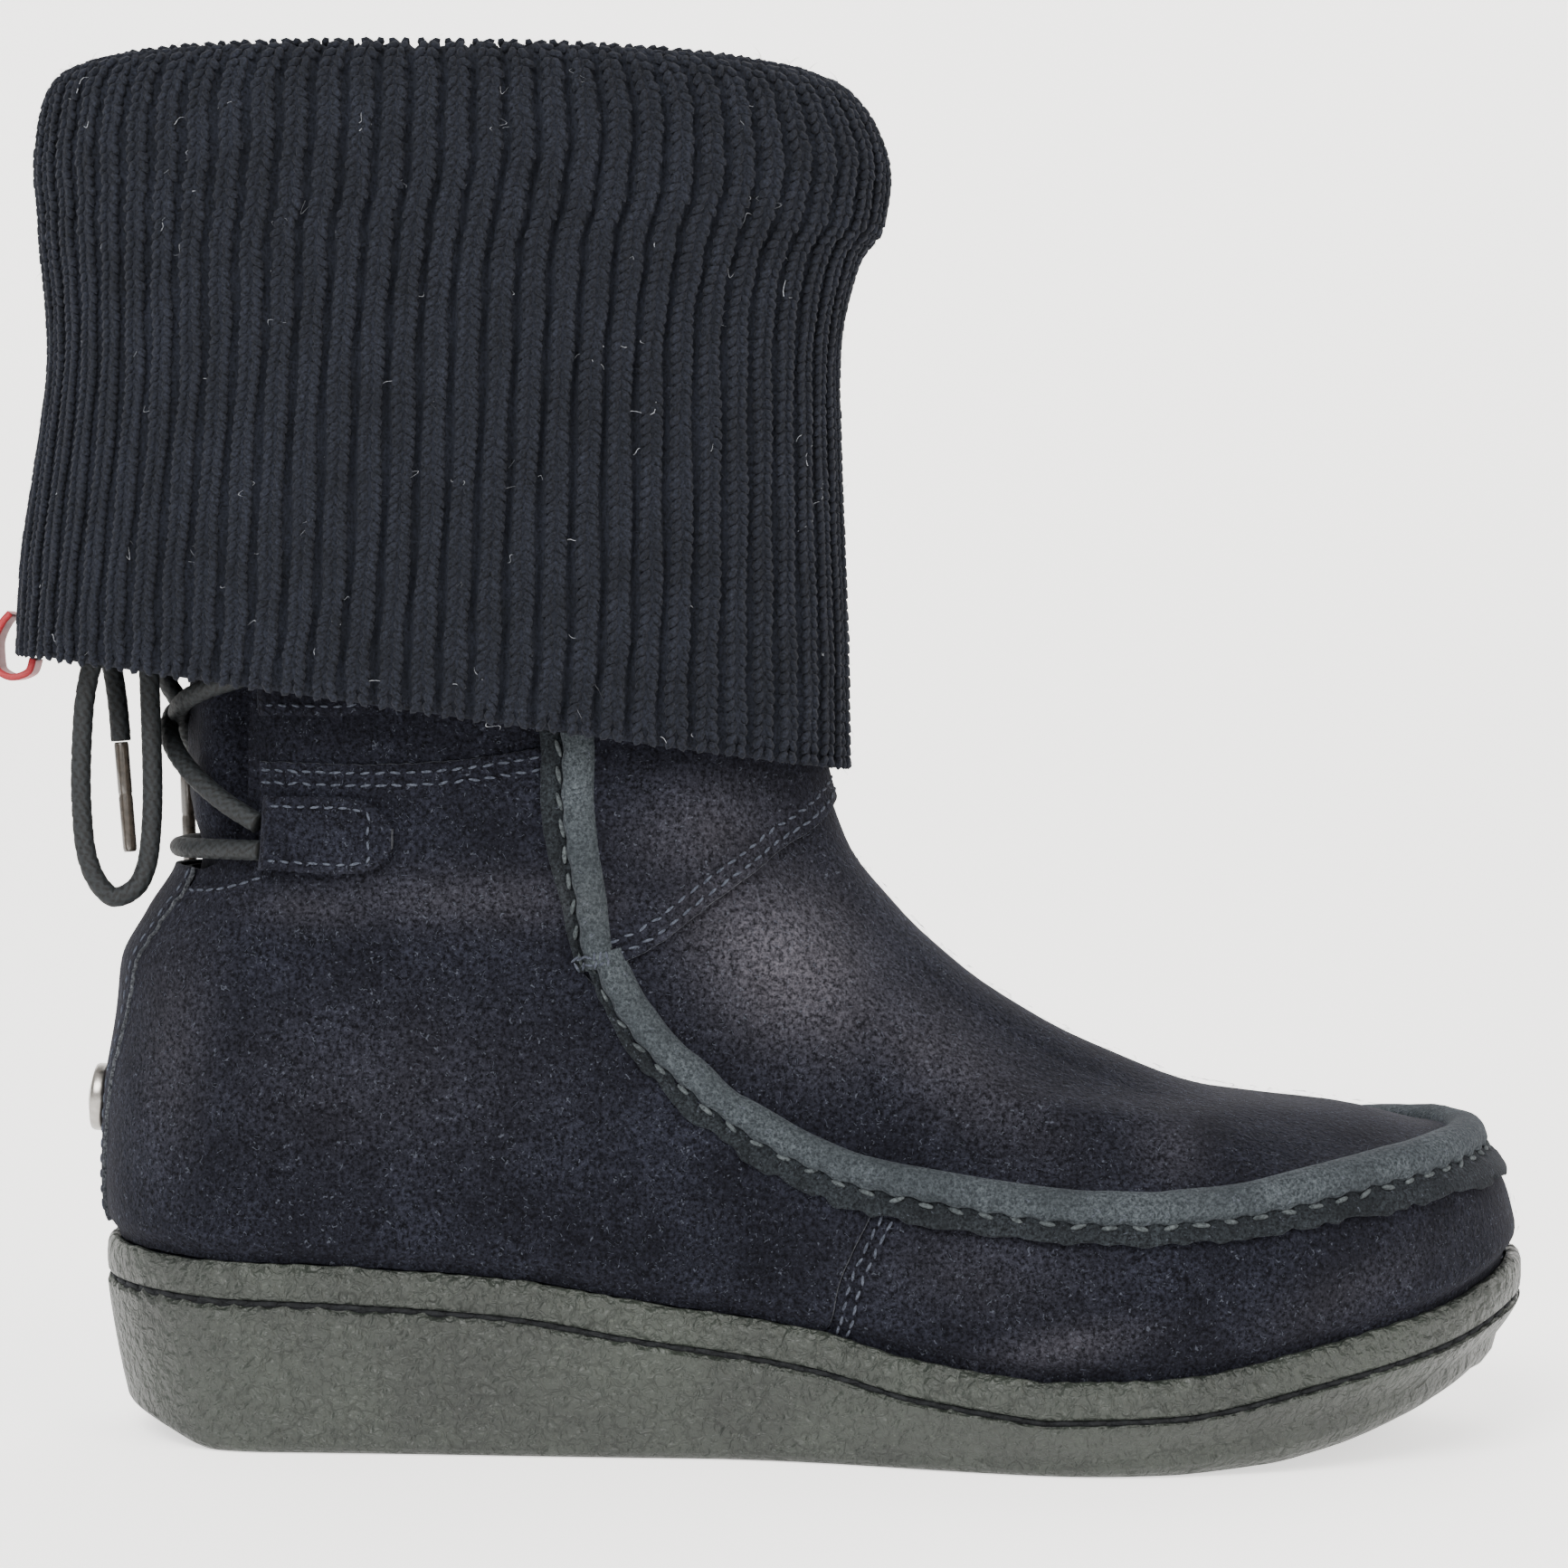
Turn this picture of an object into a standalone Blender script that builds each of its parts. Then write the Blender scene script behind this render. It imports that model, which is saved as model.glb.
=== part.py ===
"""Suede moccasin boot with a folded knit cuff, right foot, on a rubber cup sole.

Metres, +Z up, toe at +X, outer side at -Y. The origin is on the floor under the middle of
the sole. Angles run round the foot from the toe's tip over the outer side to the heel.
"""
import bpy
import bmesh
import numpy as np
from math import acos, cos, pi, radians, sin
from mathutils import Matrix

# Sole sizes
SOLE_LENGTH = 0.273
HEEL_WIDTH = 0.070
WAIST_WIDTH = 0.067
BALL_WIDTH = 0.098
TOE_WIDTH = 0.096
HEEL_RIM_HEIGHT = 0.0375
BALL_RIM_HEIGHT = 0.0180
TOE_RIM_HEIGHT = 0.0360
TOE_SPRING = 0.0200
RIM_BAND = 0.0068
RIM_THICKNESS = 0.0026
GROOVE_HEIGHT = 0.0015
GROOVE_DEPTH = 0.0012
CUP_DEPTH = 0.0090
SIDE_LEAN = 0.0040
EDGE_RADIUS = 0.0025
TREAD_DEPTH = 0.0020
TREAD_GROOVE = 0.0030
TREAD_PITCH = 0.0145
TREAD_MARGIN = 0.0110
INSOLE_THICKNESS = 0.0040

# Upper sizes
WALL = 0.0020
INSTEP_HEIGHT = 0.0757
COLLAR_HEIGHT = 0.1720
SHAFT_LENGTH = 0.1210
SHAFT_WIDTH = 0.0650
SHAFT_CENTRE = -0.0593
GAP = 0.0003
NOTCH_WIDTH = 0.0440
NOTCH_FLOOR = 0.1080
NOTCH_RADIUS = 0.0080
GUSSET_THICKNESS = 0.0010
OVERLAY = 0.0009
SEAT = 0.0005
SEAM_ROLL = 0.0034
SEAM_WIDTH = 0.0100
STUD_DIAMETER = 0.0130
STUD_HEIGHT = 0.0030
STUD_LEVEL = 0.0630

# Knit, lace and tape sizes
CUFF_TOP = 0.2650
KNIT = 0.0034
LACE = 0.0038
AGLET_DIAMETER = 0.0028
AGLET_LENGTH = 0.0210
TAB_LENGTH = 0.0215
TAB_HEIGHT = 0.0145
TAPE = 0.0008
TAPE_WIDTH = 0.0080

AROUND = 48
CUFF_AROUND = 36
ANGLES = np.arange(AROUND) * 2 * pi / AROUND

# Sole outline: a row per station from the heel's back (0) to the toe's tip (1).
# The centre line's shift to the inner side is a share of the ball's width.
SOLE_STATIONS = (0.00, 0.14, 0.42, 0.71, 0.88, 1.00)
SOLE_WIDTHS = (HEEL_WIDTH, HEEL_WIDTH, WAIST_WIDTH, BALL_WIDTH, TOE_WIDTH, TOE_WIDTH)
SOLE_CENTRES = (0.000, 0.000, -0.033, -0.020, 0.045, 0.095)
HEEL_ROUND = 0.135
TOE_ROUND = 0.205

# Rim line: along the sole as shares of its length from the middle, then the rise as a share
# of what the heel or the toe stands above the ball.
RIM_TO_HEEL = ((-0.50, 1.00), (-0.41, 0.94), (-0.33, 0.91), (-0.205, 0.81), (-0.118, 0.62),
               (0.007, 0.37), (0.064, 0.17), (0.155, 0.00))
RIM_TO_TOE = ((0.155, 0.00), (0.247, 0.06), (0.339, 0.33), (0.438, 0.66), (0.50, 1.00))
TREAD_RISE = ((-0.50, 0.22), (-0.455, 0.10), (-0.415, 0.00), (0.235, 0.00), (0.315, 0.15),
              (0.366, 0.36), (0.42, 0.65), (0.48, 1.00))

# Where a section's columns are measured, as shares of its own length from back to front.
LEVEL_STATIONS = (0.00, 0.43, 0.73, 1.00)
WIDTH_STATIONS = (0.10, 0.43, 0.73, 0.92)
# Height of the instep and of the collar in the tables' shares.
INSTEP_SHARE = 0.44

# Foot sections, one row each, from just over the rim to the instep.
# back, front: shares of the sole's length from its middle.
# Four levels (back, waist, ball, front) in shares of the collar's height.
# Four widths (heel, waist, ball, toe) as shares of the sole's own widths.
# Two end rounds (heel, toe) as shares of the section's length.
FOOT_ROWS = (
    (-0.500, 0.494, 0.302, 0.238, 0.200, 0.286, 0.985, 0.985, 1.005, 0.970, 0.150, 0.200),
    (-0.4975, 0.480, 0.384, 0.337, 0.279, 0.329, 0.966, 0.955, 0.935, 0.910, 0.160, 0.185),
    (-0.494, 0.449, 0.430, 0.384, 0.334, 0.343, 0.949, 0.925, 0.780, 0.730, 0.170, 0.200),
    (-0.489, 0.381, 0.477, 0.430, 0.378, 0.370, 0.931, 0.896, 0.690, 0.580, 0.180, 0.220),
    (-0.484, 0.289, 0.523, 0.488, 0.419, 0.389, 0.914, 0.881, 0.633, 0.470, 0.200, 0.250),
    (-0.465, 0.198, 0.576, 0.547, 0.483, 0.440, 0.900, 0.881, 0.602, 0.430, 0.220, 0.280),
)
# Shaft sections: back and front in half lengths of the shaft, widths in widths of the shaft.
SHAFT_ROWS = (
    (-1.020, 1.510, 0.634, 0.610, 0.561, 0.512, 0.954, 0.938, 0.923, 0.690, 0.270, 0.310),
    (-1.003, 1.255, 0.698, 0.680, 0.637, 0.590, 0.950, 0.950, 0.940, 0.750, 0.330, 0.360),
    (-1.000, 1.082, 0.767, 0.756, 0.721, 0.669, 0.960, 0.970, 0.960, 0.830, 0.380, 0.410),
    (-1.000, 1.000, 0.849, 0.843, 0.820, 0.773, 0.980, 1.000, 0.980, 0.880, 0.420, 0.450),
    (-1.000, 1.000, 0.930, 0.930, 0.922, 0.895, 1.000, 1.000, 1.000, 0.920, 0.440, 0.460),
    (-1.000, 1.000, 1.000, 1.000, 1.000, 1.000, 1.000, 1.000, 1.000, 0.940, 0.450, 0.470),
)
# Rows inside the cup and at the rim: inset from the sole's outline, rise over the rim's top.
CUP_ROWS = 4
RING_ROW = 5
TOP_ROW = CUP_ROWS + len(FOOT_ROWS) + len(SHAFT_ROWS) - 1
# Rows that the upper's faces and its overlays share.
UPPER_LEVELS = (0, 1, 2, 3, 3.5, 4, 4.5, 5, 5.5, 6, 7, 8, 8.5, 9, 9.5, 10, 10.5, 11, 11.5, 12, 12.5, 13,
                14, TOP_ROW)
UPPER_LEVELS_INSIDE = (0, 1, 2, 3, 4, 5, 6, 7, 8, 9, 10, 11, 12, 13, TOP_ROW)

# Moccasin seam where it leaves the toe ring, and the pinched strip up to the collar:
# along and up, as shares of the sole's length and of the collar's height.
SEAM_RISE = ((-0.016, 0.345), (-0.047, 0.371), (-0.078, 0.406), (-0.102, 0.440),
             (-0.121, 0.474), (-0.137, 0.517), (-0.1425, 0.538))
STRIP_RUN = ((-0.1445, 0.552), (-0.1480, 0.594), (-0.1515, 0.640), (-0.1560, 0.698),
             (-0.1590, 0.774), (-0.1600, 0.840))
PANEL_EDGE = ((-0.125, 0.566), (-0.062, 0.632), (-0.020, 0.676))
TAB_PLACES = (("lower", -0.3330, 0.6690), ("upper", -0.3360, 0.8420))
BACKSTAY_HALF = ((0.235, 0.09), (0.30, 0.11), (0.40, 0.20), (0.50, 0.42), (0.600, 0.66))

# Knit cuff's middle surface, from the hem up over the fold and down into the shaft.
# up_back, up_front: heights as shares of the cuff's top; back, front, half: metres over
# the shaft's back, over its front, and over its half width, as shares of the shaft's length.
CUFF_ROWS = (
    (0.561, 0.492, 0.264, 0.035, 0.082),
    (0.622, 0.577, 0.258, 0.029, 0.080),
    (0.774, 0.770, 0.216, 0.012, 0.074),
    (0.853, 0.853, 0.229, 0.042, 0.078),
    (0.909, 0.909, 0.239, 0.085, 0.082),
    (0.952, 0.952, 0.222, 0.044, 0.076),
    (0.978, 0.978, 0.180, -0.030, 0.062),
    (0.991, 0.991, 0.120, -0.086, 0.044),
    (0.976, 0.976, 0.084, -0.116, 0.028),
    (0.850, 0.850, 0.040, -0.094, 0.010),
    (0.760, 0.760, 0.002, -0.060, -0.010),
)

# Lace routes, chosen by hand, in metres.
LOOP_LATERAL = ((-0.1271, -0.0091, 0.1591), (-0.1284, -0.0116, 0.1586), (-0.1322, -0.0130, 0.1556),
                (-0.1364, -0.0134, 0.1480), (-0.1384, -0.0134, 0.1370), (-0.1388, -0.0134, 0.1250),
                (-0.1382, -0.0134, 0.1140), (-0.1362, -0.0134, 0.1065), (-0.1322, -0.0134, 0.1025),
                (-0.1282, -0.0134, 0.1045), (-0.1258, -0.0134, 0.1110), (-0.1252, -0.0134, 0.1220),
                (-0.1256, -0.0132, 0.1350), (-0.1262, -0.0124, 0.1460), (-0.1268, -0.0094, 0.1522),
                (-0.1270, -0.0071, 0.1545))
LOOP_MEDIAL = ((-0.1269, 0.0071, 0.1596), (-0.1260, 0.0102, 0.1600), (-0.1224, 0.0170, 0.1575),
               (-0.1168, 0.0248, 0.1500), (-0.1114, 0.0299, 0.1390), (-0.1074, 0.0324, 0.1270),
               (-0.1060, 0.0332, 0.1160), (-0.1072, 0.0326, 0.1090), (-0.1108, 0.0304, 0.1064),
               (-0.1146, 0.0276, 0.1100), (-0.1162, 0.0260, 0.1200), (-0.1178, 0.0238, 0.1320),
               (-0.1208, 0.0186, 0.1440), (-0.1246, 0.0114, 0.1510), (-0.1270, 0.0051, 0.1545))
END_LATERAL = ((-0.1315, -0.0010, 0.1604), (-0.1342, -0.0012, 0.1611), (-0.1366, -0.0020, 0.1585),
               (-0.1364, -0.0034, 0.1520), (-0.1342, -0.0048, 0.1450), (-0.1330, -0.0058, 0.1380),
               (-0.1324, -0.0062, 0.1320))
END_MEDIAL = ((-0.1270, -0.0010, 0.1521), (-0.1273, 0.0006, 0.1496), (-0.1272, 0.0056, 0.1466),
              (-0.1254, 0.0106, 0.1420), (-0.1232, 0.0144, 0.1365), (-0.1229, 0.0150, 0.1275))
TIE_END = (-0.1229, 0.0056, 0.1590)
KNOT_CENTRE = (-0.1270, -0.0010, 0.1590)
KNOT_SIZE = (0.0080, 0.0150, 0.0120)


def knot_slopes(rises):
    """Slope of a smooth run at each of its knots, level where the run turns."""
    before, after = rises[:-1], rises[1:]
    turning = before * after <= 0
    total = np.where(turning, 1.0, before + after)
    mean = np.where(turning, 0.0, 2 * before * after / total)
    return np.concatenate([rises[:1], mean, rises[-1:]])


def between(start, end, leave, arrive, share):
    """Cubic from start to end that leaves and arrives at these slopes."""
    return (start + (end - start) * share * share * (3 - 2 * share)
            + leave * share * (1 - share) ** 2 + arrive * share * share * (share - 1))


def smooth(stations, values, at):
    """Cubic through a short table that never overshoots its values."""
    knots = np.asarray(stations, dtype=float)
    heights = np.asarray(values, dtype=float)
    at = np.clip(np.asarray(at, dtype=float), knots[0], knots[-1])
    column = (-1,) + (1,) * (heights.ndim - 1)
    lengths = np.diff(knots)
    slopes = knot_slopes(np.diff(heights, axis=0) / lengths.reshape(column))
    span = np.clip(np.searchsorted(knots, at, side="right") - 1, 0, len(knots) - 2)
    share = ((at - knots[span]) / lengths[span]).reshape(column)
    length = lengths[span].reshape(column)
    return between(heights[span], heights[span + 1], slopes[span] * length,
                   slopes[span + 1] * length, share)


def columns(table):
    return tuple(np.asarray(table, dtype=float).T)


def curve(table, at):
    stations, values = columns(table)
    return smooth(stations, values, at)


def centre_line(x):
    """Shift of the foot's centre line to the inner side."""
    return smooth(SOLE_STATIONS, np.array(SOLE_CENTRES) * BALL_WIDTH, x / SOLE_LENGTH + 0.5)


def rim_height(x):
    along = np.asarray(x) / SOLE_LENGTH
    heel = (HEEL_RIM_HEIGHT - BALL_RIM_HEIGHT) * curve(RIM_TO_HEEL, along)
    toe = (TOE_RIM_HEIGHT - BALL_RIM_HEIGHT) * curve(RIM_TO_TOE, along)
    return BALL_RIM_HEIGHT + heel + toe


def tread_height(x):
    return TOE_SPRING * curve(TREAD_RISE, np.asarray(x) / SOLE_LENGTH)


def height(share):
    """Real height of a share of the collar's height, with the instep at its own size."""
    return np.interp(share, (0, INSTEP_SHARE, 1), (0, INSTEP_HEIGHT, COLLAR_HEIGHT))


def ends(along, heel_round, toe_round):
    """How far the rounded ends draw a section in, as a share of its half width."""
    heel = np.clip(1 - along / heel_round, 0, 1)
    toe = np.clip(1 - (1 - along) / toe_round, 0, 1)
    return np.sqrt((1 - heel ** 2) * (1 - toe ** 2))


def outline(angles, inset=0.0):
    """Points of the sole's outline seen from above, drawn in by the inset."""
    along = (1 + np.cos(angles)) / 2
    x = SOLE_LENGTH * (along - 0.5)
    half = smooth(SOLE_STATIONS, SOLE_WIDTHS, along) / 2 * ends(along, HEEL_ROUND, TOE_ROUND)
    base = np.stack([x, centre_line(x) - np.sign(np.sin(angles)) * half], axis=-1)
    if inset == 0:
        return base
    step = 0.002
    run = outline(angles + step) - outline(angles - step)
    outward = np.stack([-run[:, 1], run[:, 0]], axis=-1)
    return base - inset * outward / np.linalg.norm(outward, axis=1, keepdims=True)


def sole_loop(angles, inset, level):
    """A loop drawn in from the sole's outline, with one level or one level a point."""
    flat = outline(angles, inset)
    return np.column_stack([flat, np.broadcast_to(level, len(flat))])


def over_rim(angles, inset, rise):
    return sole_loop(angles, inset, rim_height(outline(angles)[:, 0]) + rise)


def section(row, angles, back, front, widths):
    """One tilted section of the upper."""
    levels, shares, rounds = row[2:6], row[6:10], row[10:12]
    along = (1 + np.cos(angles)) / 2
    x = back + (front - back) * along
    half = smooth(WIDTH_STATIONS, np.array(shares) * np.array(widths) / 2, along)
    half = half * ends(along, *rounds)
    z = smooth(LEVEL_STATIONS, height(np.array(levels)), along)
    return np.column_stack([x, centre_line(x) - np.sign(np.sin(angles)) * half, z])


def upper_rows(angles):
    """All the upper's rows at these angles, from the cup's floor to the collar."""
    cup_inset = RIM_THICKNESS + 2 * GAP
    rows = [
        over_rim(angles, cup_inset, GAP - CUP_DEPTH),
        over_rim(angles, cup_inset, -RIM_BAND / 3),
        over_rim(angles, cup_inset * 0.85, RIM_BAND / 6),
        over_rim(angles, cup_inset * 0.25, RIM_BAND * 0.66),
    ]
    foot_widths = (HEEL_WIDTH, WAIST_WIDTH, BALL_WIDTH, TOE_WIDTH)
    for row in FOOT_ROWS:
        rows.append(section(row, angles, row[0] * SOLE_LENGTH, row[1] * SOLE_LENGTH, foot_widths))
    half_length = SHAFT_LENGTH / 2
    for row in SHAFT_ROWS:
        back = SHAFT_CENTRE + row[0] * half_length
        front = SHAFT_CENTRE + row[1] * half_length
        rows.append(section(row, angles, back, front, (SHAFT_WIDTH,) * 4))
    return np.stack(rows)


def bare_skin(angles, rows):
    """Points of the upper's outer face at pairs of angle and row."""
    angles = np.atleast_1d(np.asarray(angles, dtype=float))
    rows = np.clip(np.atleast_1d(np.asarray(rows, dtype=float)), 0, TOP_ROW)
    table = upper_rows(angles)
    slopes = knot_slopes(np.diff(table, axis=0))
    span = np.minimum(rows.astype(int), TOP_ROW - 1)
    each = np.arange(len(angles))
    return between(table[span, each], table[span + 1, each], slopes[span, each],
                   slopes[span + 1, each], (rows - span)[:, None])


def slopes_at(angles, rows):
    """How the outer face runs round the foot and up it."""
    step = 0.01
    low = np.clip(rows - step, 0, TOP_ROW)
    high = np.clip(rows + step, 0, TOP_ROW)
    round_foot = (bare_skin(angles + step, rows) - bare_skin(angles - step, rows)) / (2 * step)
    up_foot = (bare_skin(angles, high) - bare_skin(angles, low)) / (high - low)[:, None]
    return round_foot, up_foot


def outward_at(angles, rows):
    round_foot, up_foot = slopes_at(angles, rows)
    normal = np.cross(up_foot, round_foot)
    return normal / np.linalg.norm(normal, axis=1, keepdims=True)


def skin(angles, rows, lift=0.0):
    """Points at a lift over the upper's outer face; a lift under zero is inside it."""
    angles, rows = np.broadcast_arrays(np.atleast_1d(angles), np.atleast_1d(rows))
    angles, rows = angles.astype(float), rows.astype(float)
    lift = np.broadcast_to(lift, angles.shape)[:, None]
    return bare_skin(angles, rows) + lift * outward_at(angles, rows)


def locate(along, up):
    """Angle and row of a place on the outer side given by its share along and its share up."""
    target = np.array([along * SOLE_LENGTH, height(up)])
    grid_angles, grid_rows = np.meshgrid(np.linspace(0.3, pi - 0.3, 24), np.linspace(3, TOP_ROW, 40))
    grid_angles, grid_rows = grid_angles.ravel(), grid_rows.ravel()
    near = bare_skin(grid_angles, grid_rows)[:, (0, 2)]
    best = np.argmin(((near - target) ** 2).sum(axis=1))
    angle, row = grid_angles[best:best + 1], grid_rows[best:best + 1]
    for _ in range(6):
        round_foot, up_foot = slopes_at(angle, row)
        miss = target - bare_skin(angle, row)[0, (0, 2)]
        matrix = np.stack([round_foot[0, (0, 2)], up_foot[0, (0, 2)]], axis=1)
        turn = np.linalg.lstsq(matrix, miss, rcond=None)[0]
        angle = np.clip(angle + turn[0], 0.05, pi - 0.05)
        row = np.clip(row + turn[1], 0, TOP_ROW)
    return float(angle[0]), float(row[0])


def beside(places, across):
    """Places moved over the skin at right angles to the run of the places, in metres."""
    places = np.asarray(places, dtype=float)
    angles, rows = places[:, 0], places[:, 1]
    round_foot, up_foot = slopes_at(angles, rows)
    normal = outward_at(angles, rows)
    run = np.gradient(bare_skin(angles, rows), axis=0)
    aside = np.cross(run, normal)
    aside /= np.linalg.norm(aside, axis=1, keepdims=True)
    across = np.broadcast_to(across, len(places))
    moved = places.copy()
    for i in range(len(places)):
        matrix = np.stack([round_foot[i], up_foot[i]], axis=1)
        moved[i] += np.linalg.lstsq(matrix, across[i] * aside[i], rcond=None)[0]
    moved[:, 1] = np.clip(moved[:, 1], 0, TOP_ROW)
    return moved


def resample(places, count):
    """The same run of places at an even step over the skin."""
    places = np.asarray(places, dtype=float)
    fine = smooth(np.arange(len(places)), places, np.linspace(0, len(places) - 1, 200))
    steps = np.linalg.norm(np.diff(bare_skin(fine[:, 0], fine[:, 1]), axis=0), axis=1)
    travelled = np.concatenate([[0], np.cumsum(steps)])
    at = np.linspace(0, travelled[-1], count)
    return np.column_stack([np.interp(at, travelled, fine[:, k]) for k in range(2)])


def mirrored(places):
    """The same places on the inner side."""
    return np.asarray(places) * (-1, 1)


def material(name, colour, roughness, metallic=0.0):
    made = bpy.data.materials.new(name)
    made.use_nodes = True
    shader = made.node_tree.nodes["Principled BSDF"]
    shader.inputs["Base Color"].default_value = (*colour, 1)
    shader.inputs["Roughness"].default_value = roughness
    shader.inputs["Metallic"].default_value = metallic
    return made


def add_object(name, points, faces, finish):
    """A closed body from points and faces, with its faces turned outward."""
    mesh = bpy.data.meshes.new(name)
    mesh.from_pydata([tuple(map(float, point)) for point in points], [], faces)
    shape = bmesh.new()
    shape.from_mesh(mesh)
    bmesh.ops.recalc_face_normals(shape, faces=shape.faces)
    shape.to_mesh(mesh)
    shape.free()
    mesh.shade_smooth()
    mesh.set_sharp_from_angle(angle=radians(40))
    made = bpy.data.objects.new(name, mesh)
    bpy.context.scene.collection.objects.link(made)
    mesh.materials.append(finish)
    return made


def loop_faces(loops, around, closed):
    """Quads between neighbouring loops; closed joins the last loop to the first."""
    faces = []
    for level in range(loops if closed else loops - 1):
        above = (level + 1) % loops
        for i in range(around):
            j = (i + 1) % around
            faces.append((level * around + i, level * around + j,
                          above * around + j, above * around + i))
    return faces


def strip_cap(start, around):
    """Faces that close a loop by strips from its outer side to its inner side."""
    faces = [(start, start + 1, start + around - 1)]
    half = around // 2
    for i in range(1, half - 1):
        faces.append((start + i, start + i + 1, start + around - i - 1, start + around - i))
    faces.append((start + half - 1, start + half, start + half + 1))
    return faces


def stacked(name, loops, finish):
    """A body of loops, closed by strips at its first and its last loop."""
    around = len(loops[0])
    faces = loop_faces(len(loops), around, False)
    faces += strip_cap(0, around) + strip_cap((len(loops) - 1) * around, around)
    return add_object(name, np.concatenate(loops), faces, finish)


def slab(name, over, under, finish):
    """A thin body between two grids of points of one size."""
    rows, count = over.shape[:2]
    points = np.concatenate([over.reshape(-1, 3), under.reshape(-1, 3)])
    back = rows * count
    faces = []
    for r in range(rows - 1):
        for c in range(count - 1):
            quad = (r * count + c, r * count + c + 1, (r + 1) * count + c + 1, (r + 1) * count + c)
            faces.append(quad)
            faces.append(tuple(back + k for k in reversed(quad)))
    edge = [(0, c) for c in range(count)]
    edge += [(r, count - 1) for r in range(1, rows)]
    edge += [(rows - 1, c) for c in range(count - 2, -1, -1)]
    edge += [(r, 0) for r in range(rows - 2, 0, -1)]
    for here, there in zip(edge, edge[1:] + edge[:1]):
        a = here[0] * count + here[1]
        b = there[0] * count + there[1]
        faces.append((a, b, back + b, back + a))
    return add_object(name, points, faces, finish)


def swept(name, profiles, finish):
    """A body through closed profiles of one size, with flat ends."""
    count = len(profiles[0])
    faces = loop_faces(len(profiles), count, False)
    last = (len(profiles) - 1) * count
    faces.append(tuple(range(count)))
    faces.append(tuple(last + k for k in range(count)))
    return add_object(name, np.concatenate(profiles), faces, finish)


def seam_body(name, places, shape, finish):
    """A raised seam along places: shape holds across and lift pairs, in metres."""
    loops = [skin(*beside(places, across).T, lift) for across, lift in shape]
    return swept(name, np.stack(loops, axis=1), finish)


def cut(target, cutter):
    """Take the cutter out of the target for good."""
    cutter.hide_render = True
    cutter.display_type = "WIRE"
    step = target.modifiers.new("cut", "BOOLEAN")
    step.operation = "DIFFERENCE"
    step.solver = "EXACT"
    step.object = cutter
    bpy.context.view_layer.update()
    graph = bpy.context.evaluated_depsgraph_get()
    result = bpy.data.meshes.new_from_object(target.evaluated_get(graph))
    target.modifiers.remove(step)
    target.data = result
    bpy.data.objects.remove(cutter)


def tube(name, route, diameter, finish, points):
    """A cord's tube through a smooth curve over its route."""
    route = np.asarray(route, dtype=float)
    at = np.linspace(0, len(route) - 1, points)
    path = smooth(np.arange(len(route)), route, at)
    data = bpy.data.curves.new(name, "CURVE")
    data.dimensions = "3D"
    spline = data.splines.new("POLY")
    spline.points.add(points - 1)
    for point, place in zip(spline.points, path):
        point.co = (*place, 1)
    data.bevel_depth = diameter / 2
    data.bevel_resolution = 2
    data.use_fill_caps = True
    made = bpy.data.objects.new(name, data)
    bpy.context.scene.collection.objects.link(made)
    data.materials.append(finish)
    return made


def make_outsole(finish):
    """Cup sole: tread, leaning side, stitched groove, rim band and the cup for the upper."""
    tread = tread_height(outline(ANGLES)[:, 0])
    rim = rim_height(outline(ANGLES)[:, 0])
    band_foot = rim - RIM_BAND
    side_top = band_foot - GROOVE_HEIGHT
    loops = [
        sole_loop(ANGLES, SIDE_LEAN + EDGE_RADIUS, tread),
        sole_loop(ANGLES, SIDE_LEAN + EDGE_RADIUS * 0.3, tread + EDGE_RADIUS * 0.3),
        sole_loop(ANGLES, SIDE_LEAN, tread + EDGE_RADIUS),
        sole_loop(ANGLES, SIDE_LEAN * 0.35, tread + (side_top - tread) * 0.6),
        sole_loop(ANGLES, GROOVE_DEPTH * 0.3, side_top),
        sole_loop(ANGLES, GROOVE_DEPTH, side_top),
        sole_loop(ANGLES, GROOVE_DEPTH, band_foot),
        sole_loop(ANGLES, 0, band_foot),
        sole_loop(ANGLES, 0, rim - RIM_BAND * 0.2),
        sole_loop(ANGLES, RIM_THICKNESS * 0.35, rim),
        sole_loop(ANGLES, RIM_THICKNESS, rim - RIM_BAND * 0.06),
        sole_loop(ANGLES, RIM_THICKNESS + GAP, rim - CUP_DEPTH),
    ]
    sole = stacked("outsole", loops, finish)
    pairs = int((SOLE_LENGTH / 2 - TREAD_MARGIN) / TREAD_PITCH)
    for i in range(2 * pairs):
        x = (i + 0.5 - pairs) * TREAD_PITCH
        angle = acos(2 * x / SOLE_LENGTH)
        sides = outline(np.array([angle, -angle]))[:, 1]
        bpy.ops.mesh.primitive_cube_add(size=1)
        groove = bpy.context.object
        width = sides[1] - sides[0] - 2 * TREAD_MARGIN
        floor = tread_height(x).item()
        rise = (tread_height(x + TREAD_GROOVE) - tread_height(x - TREAD_GROOVE)).item()
        groove.scale = (TREAD_GROOVE, width, TREAD_DEPTH * 2)
        groove.rotation_euler = (0, -np.arctan2(rise, 2 * TREAD_GROOVE), 0)
        groove.location = (x, sides.mean(), floor)
        cut(sole, groove)
    return sole


def make_insole(finish):
    """Footbed on the cup's floor, inside the upper's lower edge."""
    inset = RIM_THICKNESS + 3 * GAP + WALL
    loops = [over_rim(ANGLES, inset, level - CUP_DEPTH)
             for level in (GAP, GAP + INSOLE_THICKNESS * 0.8)]
    loops.append(over_rim(ANGLES, inset + INSOLE_THICKNESS * 0.2, GAP + INSOLE_THICKNESS - CUP_DEPTH))
    return stacked("insole", loops, finish)


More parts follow.
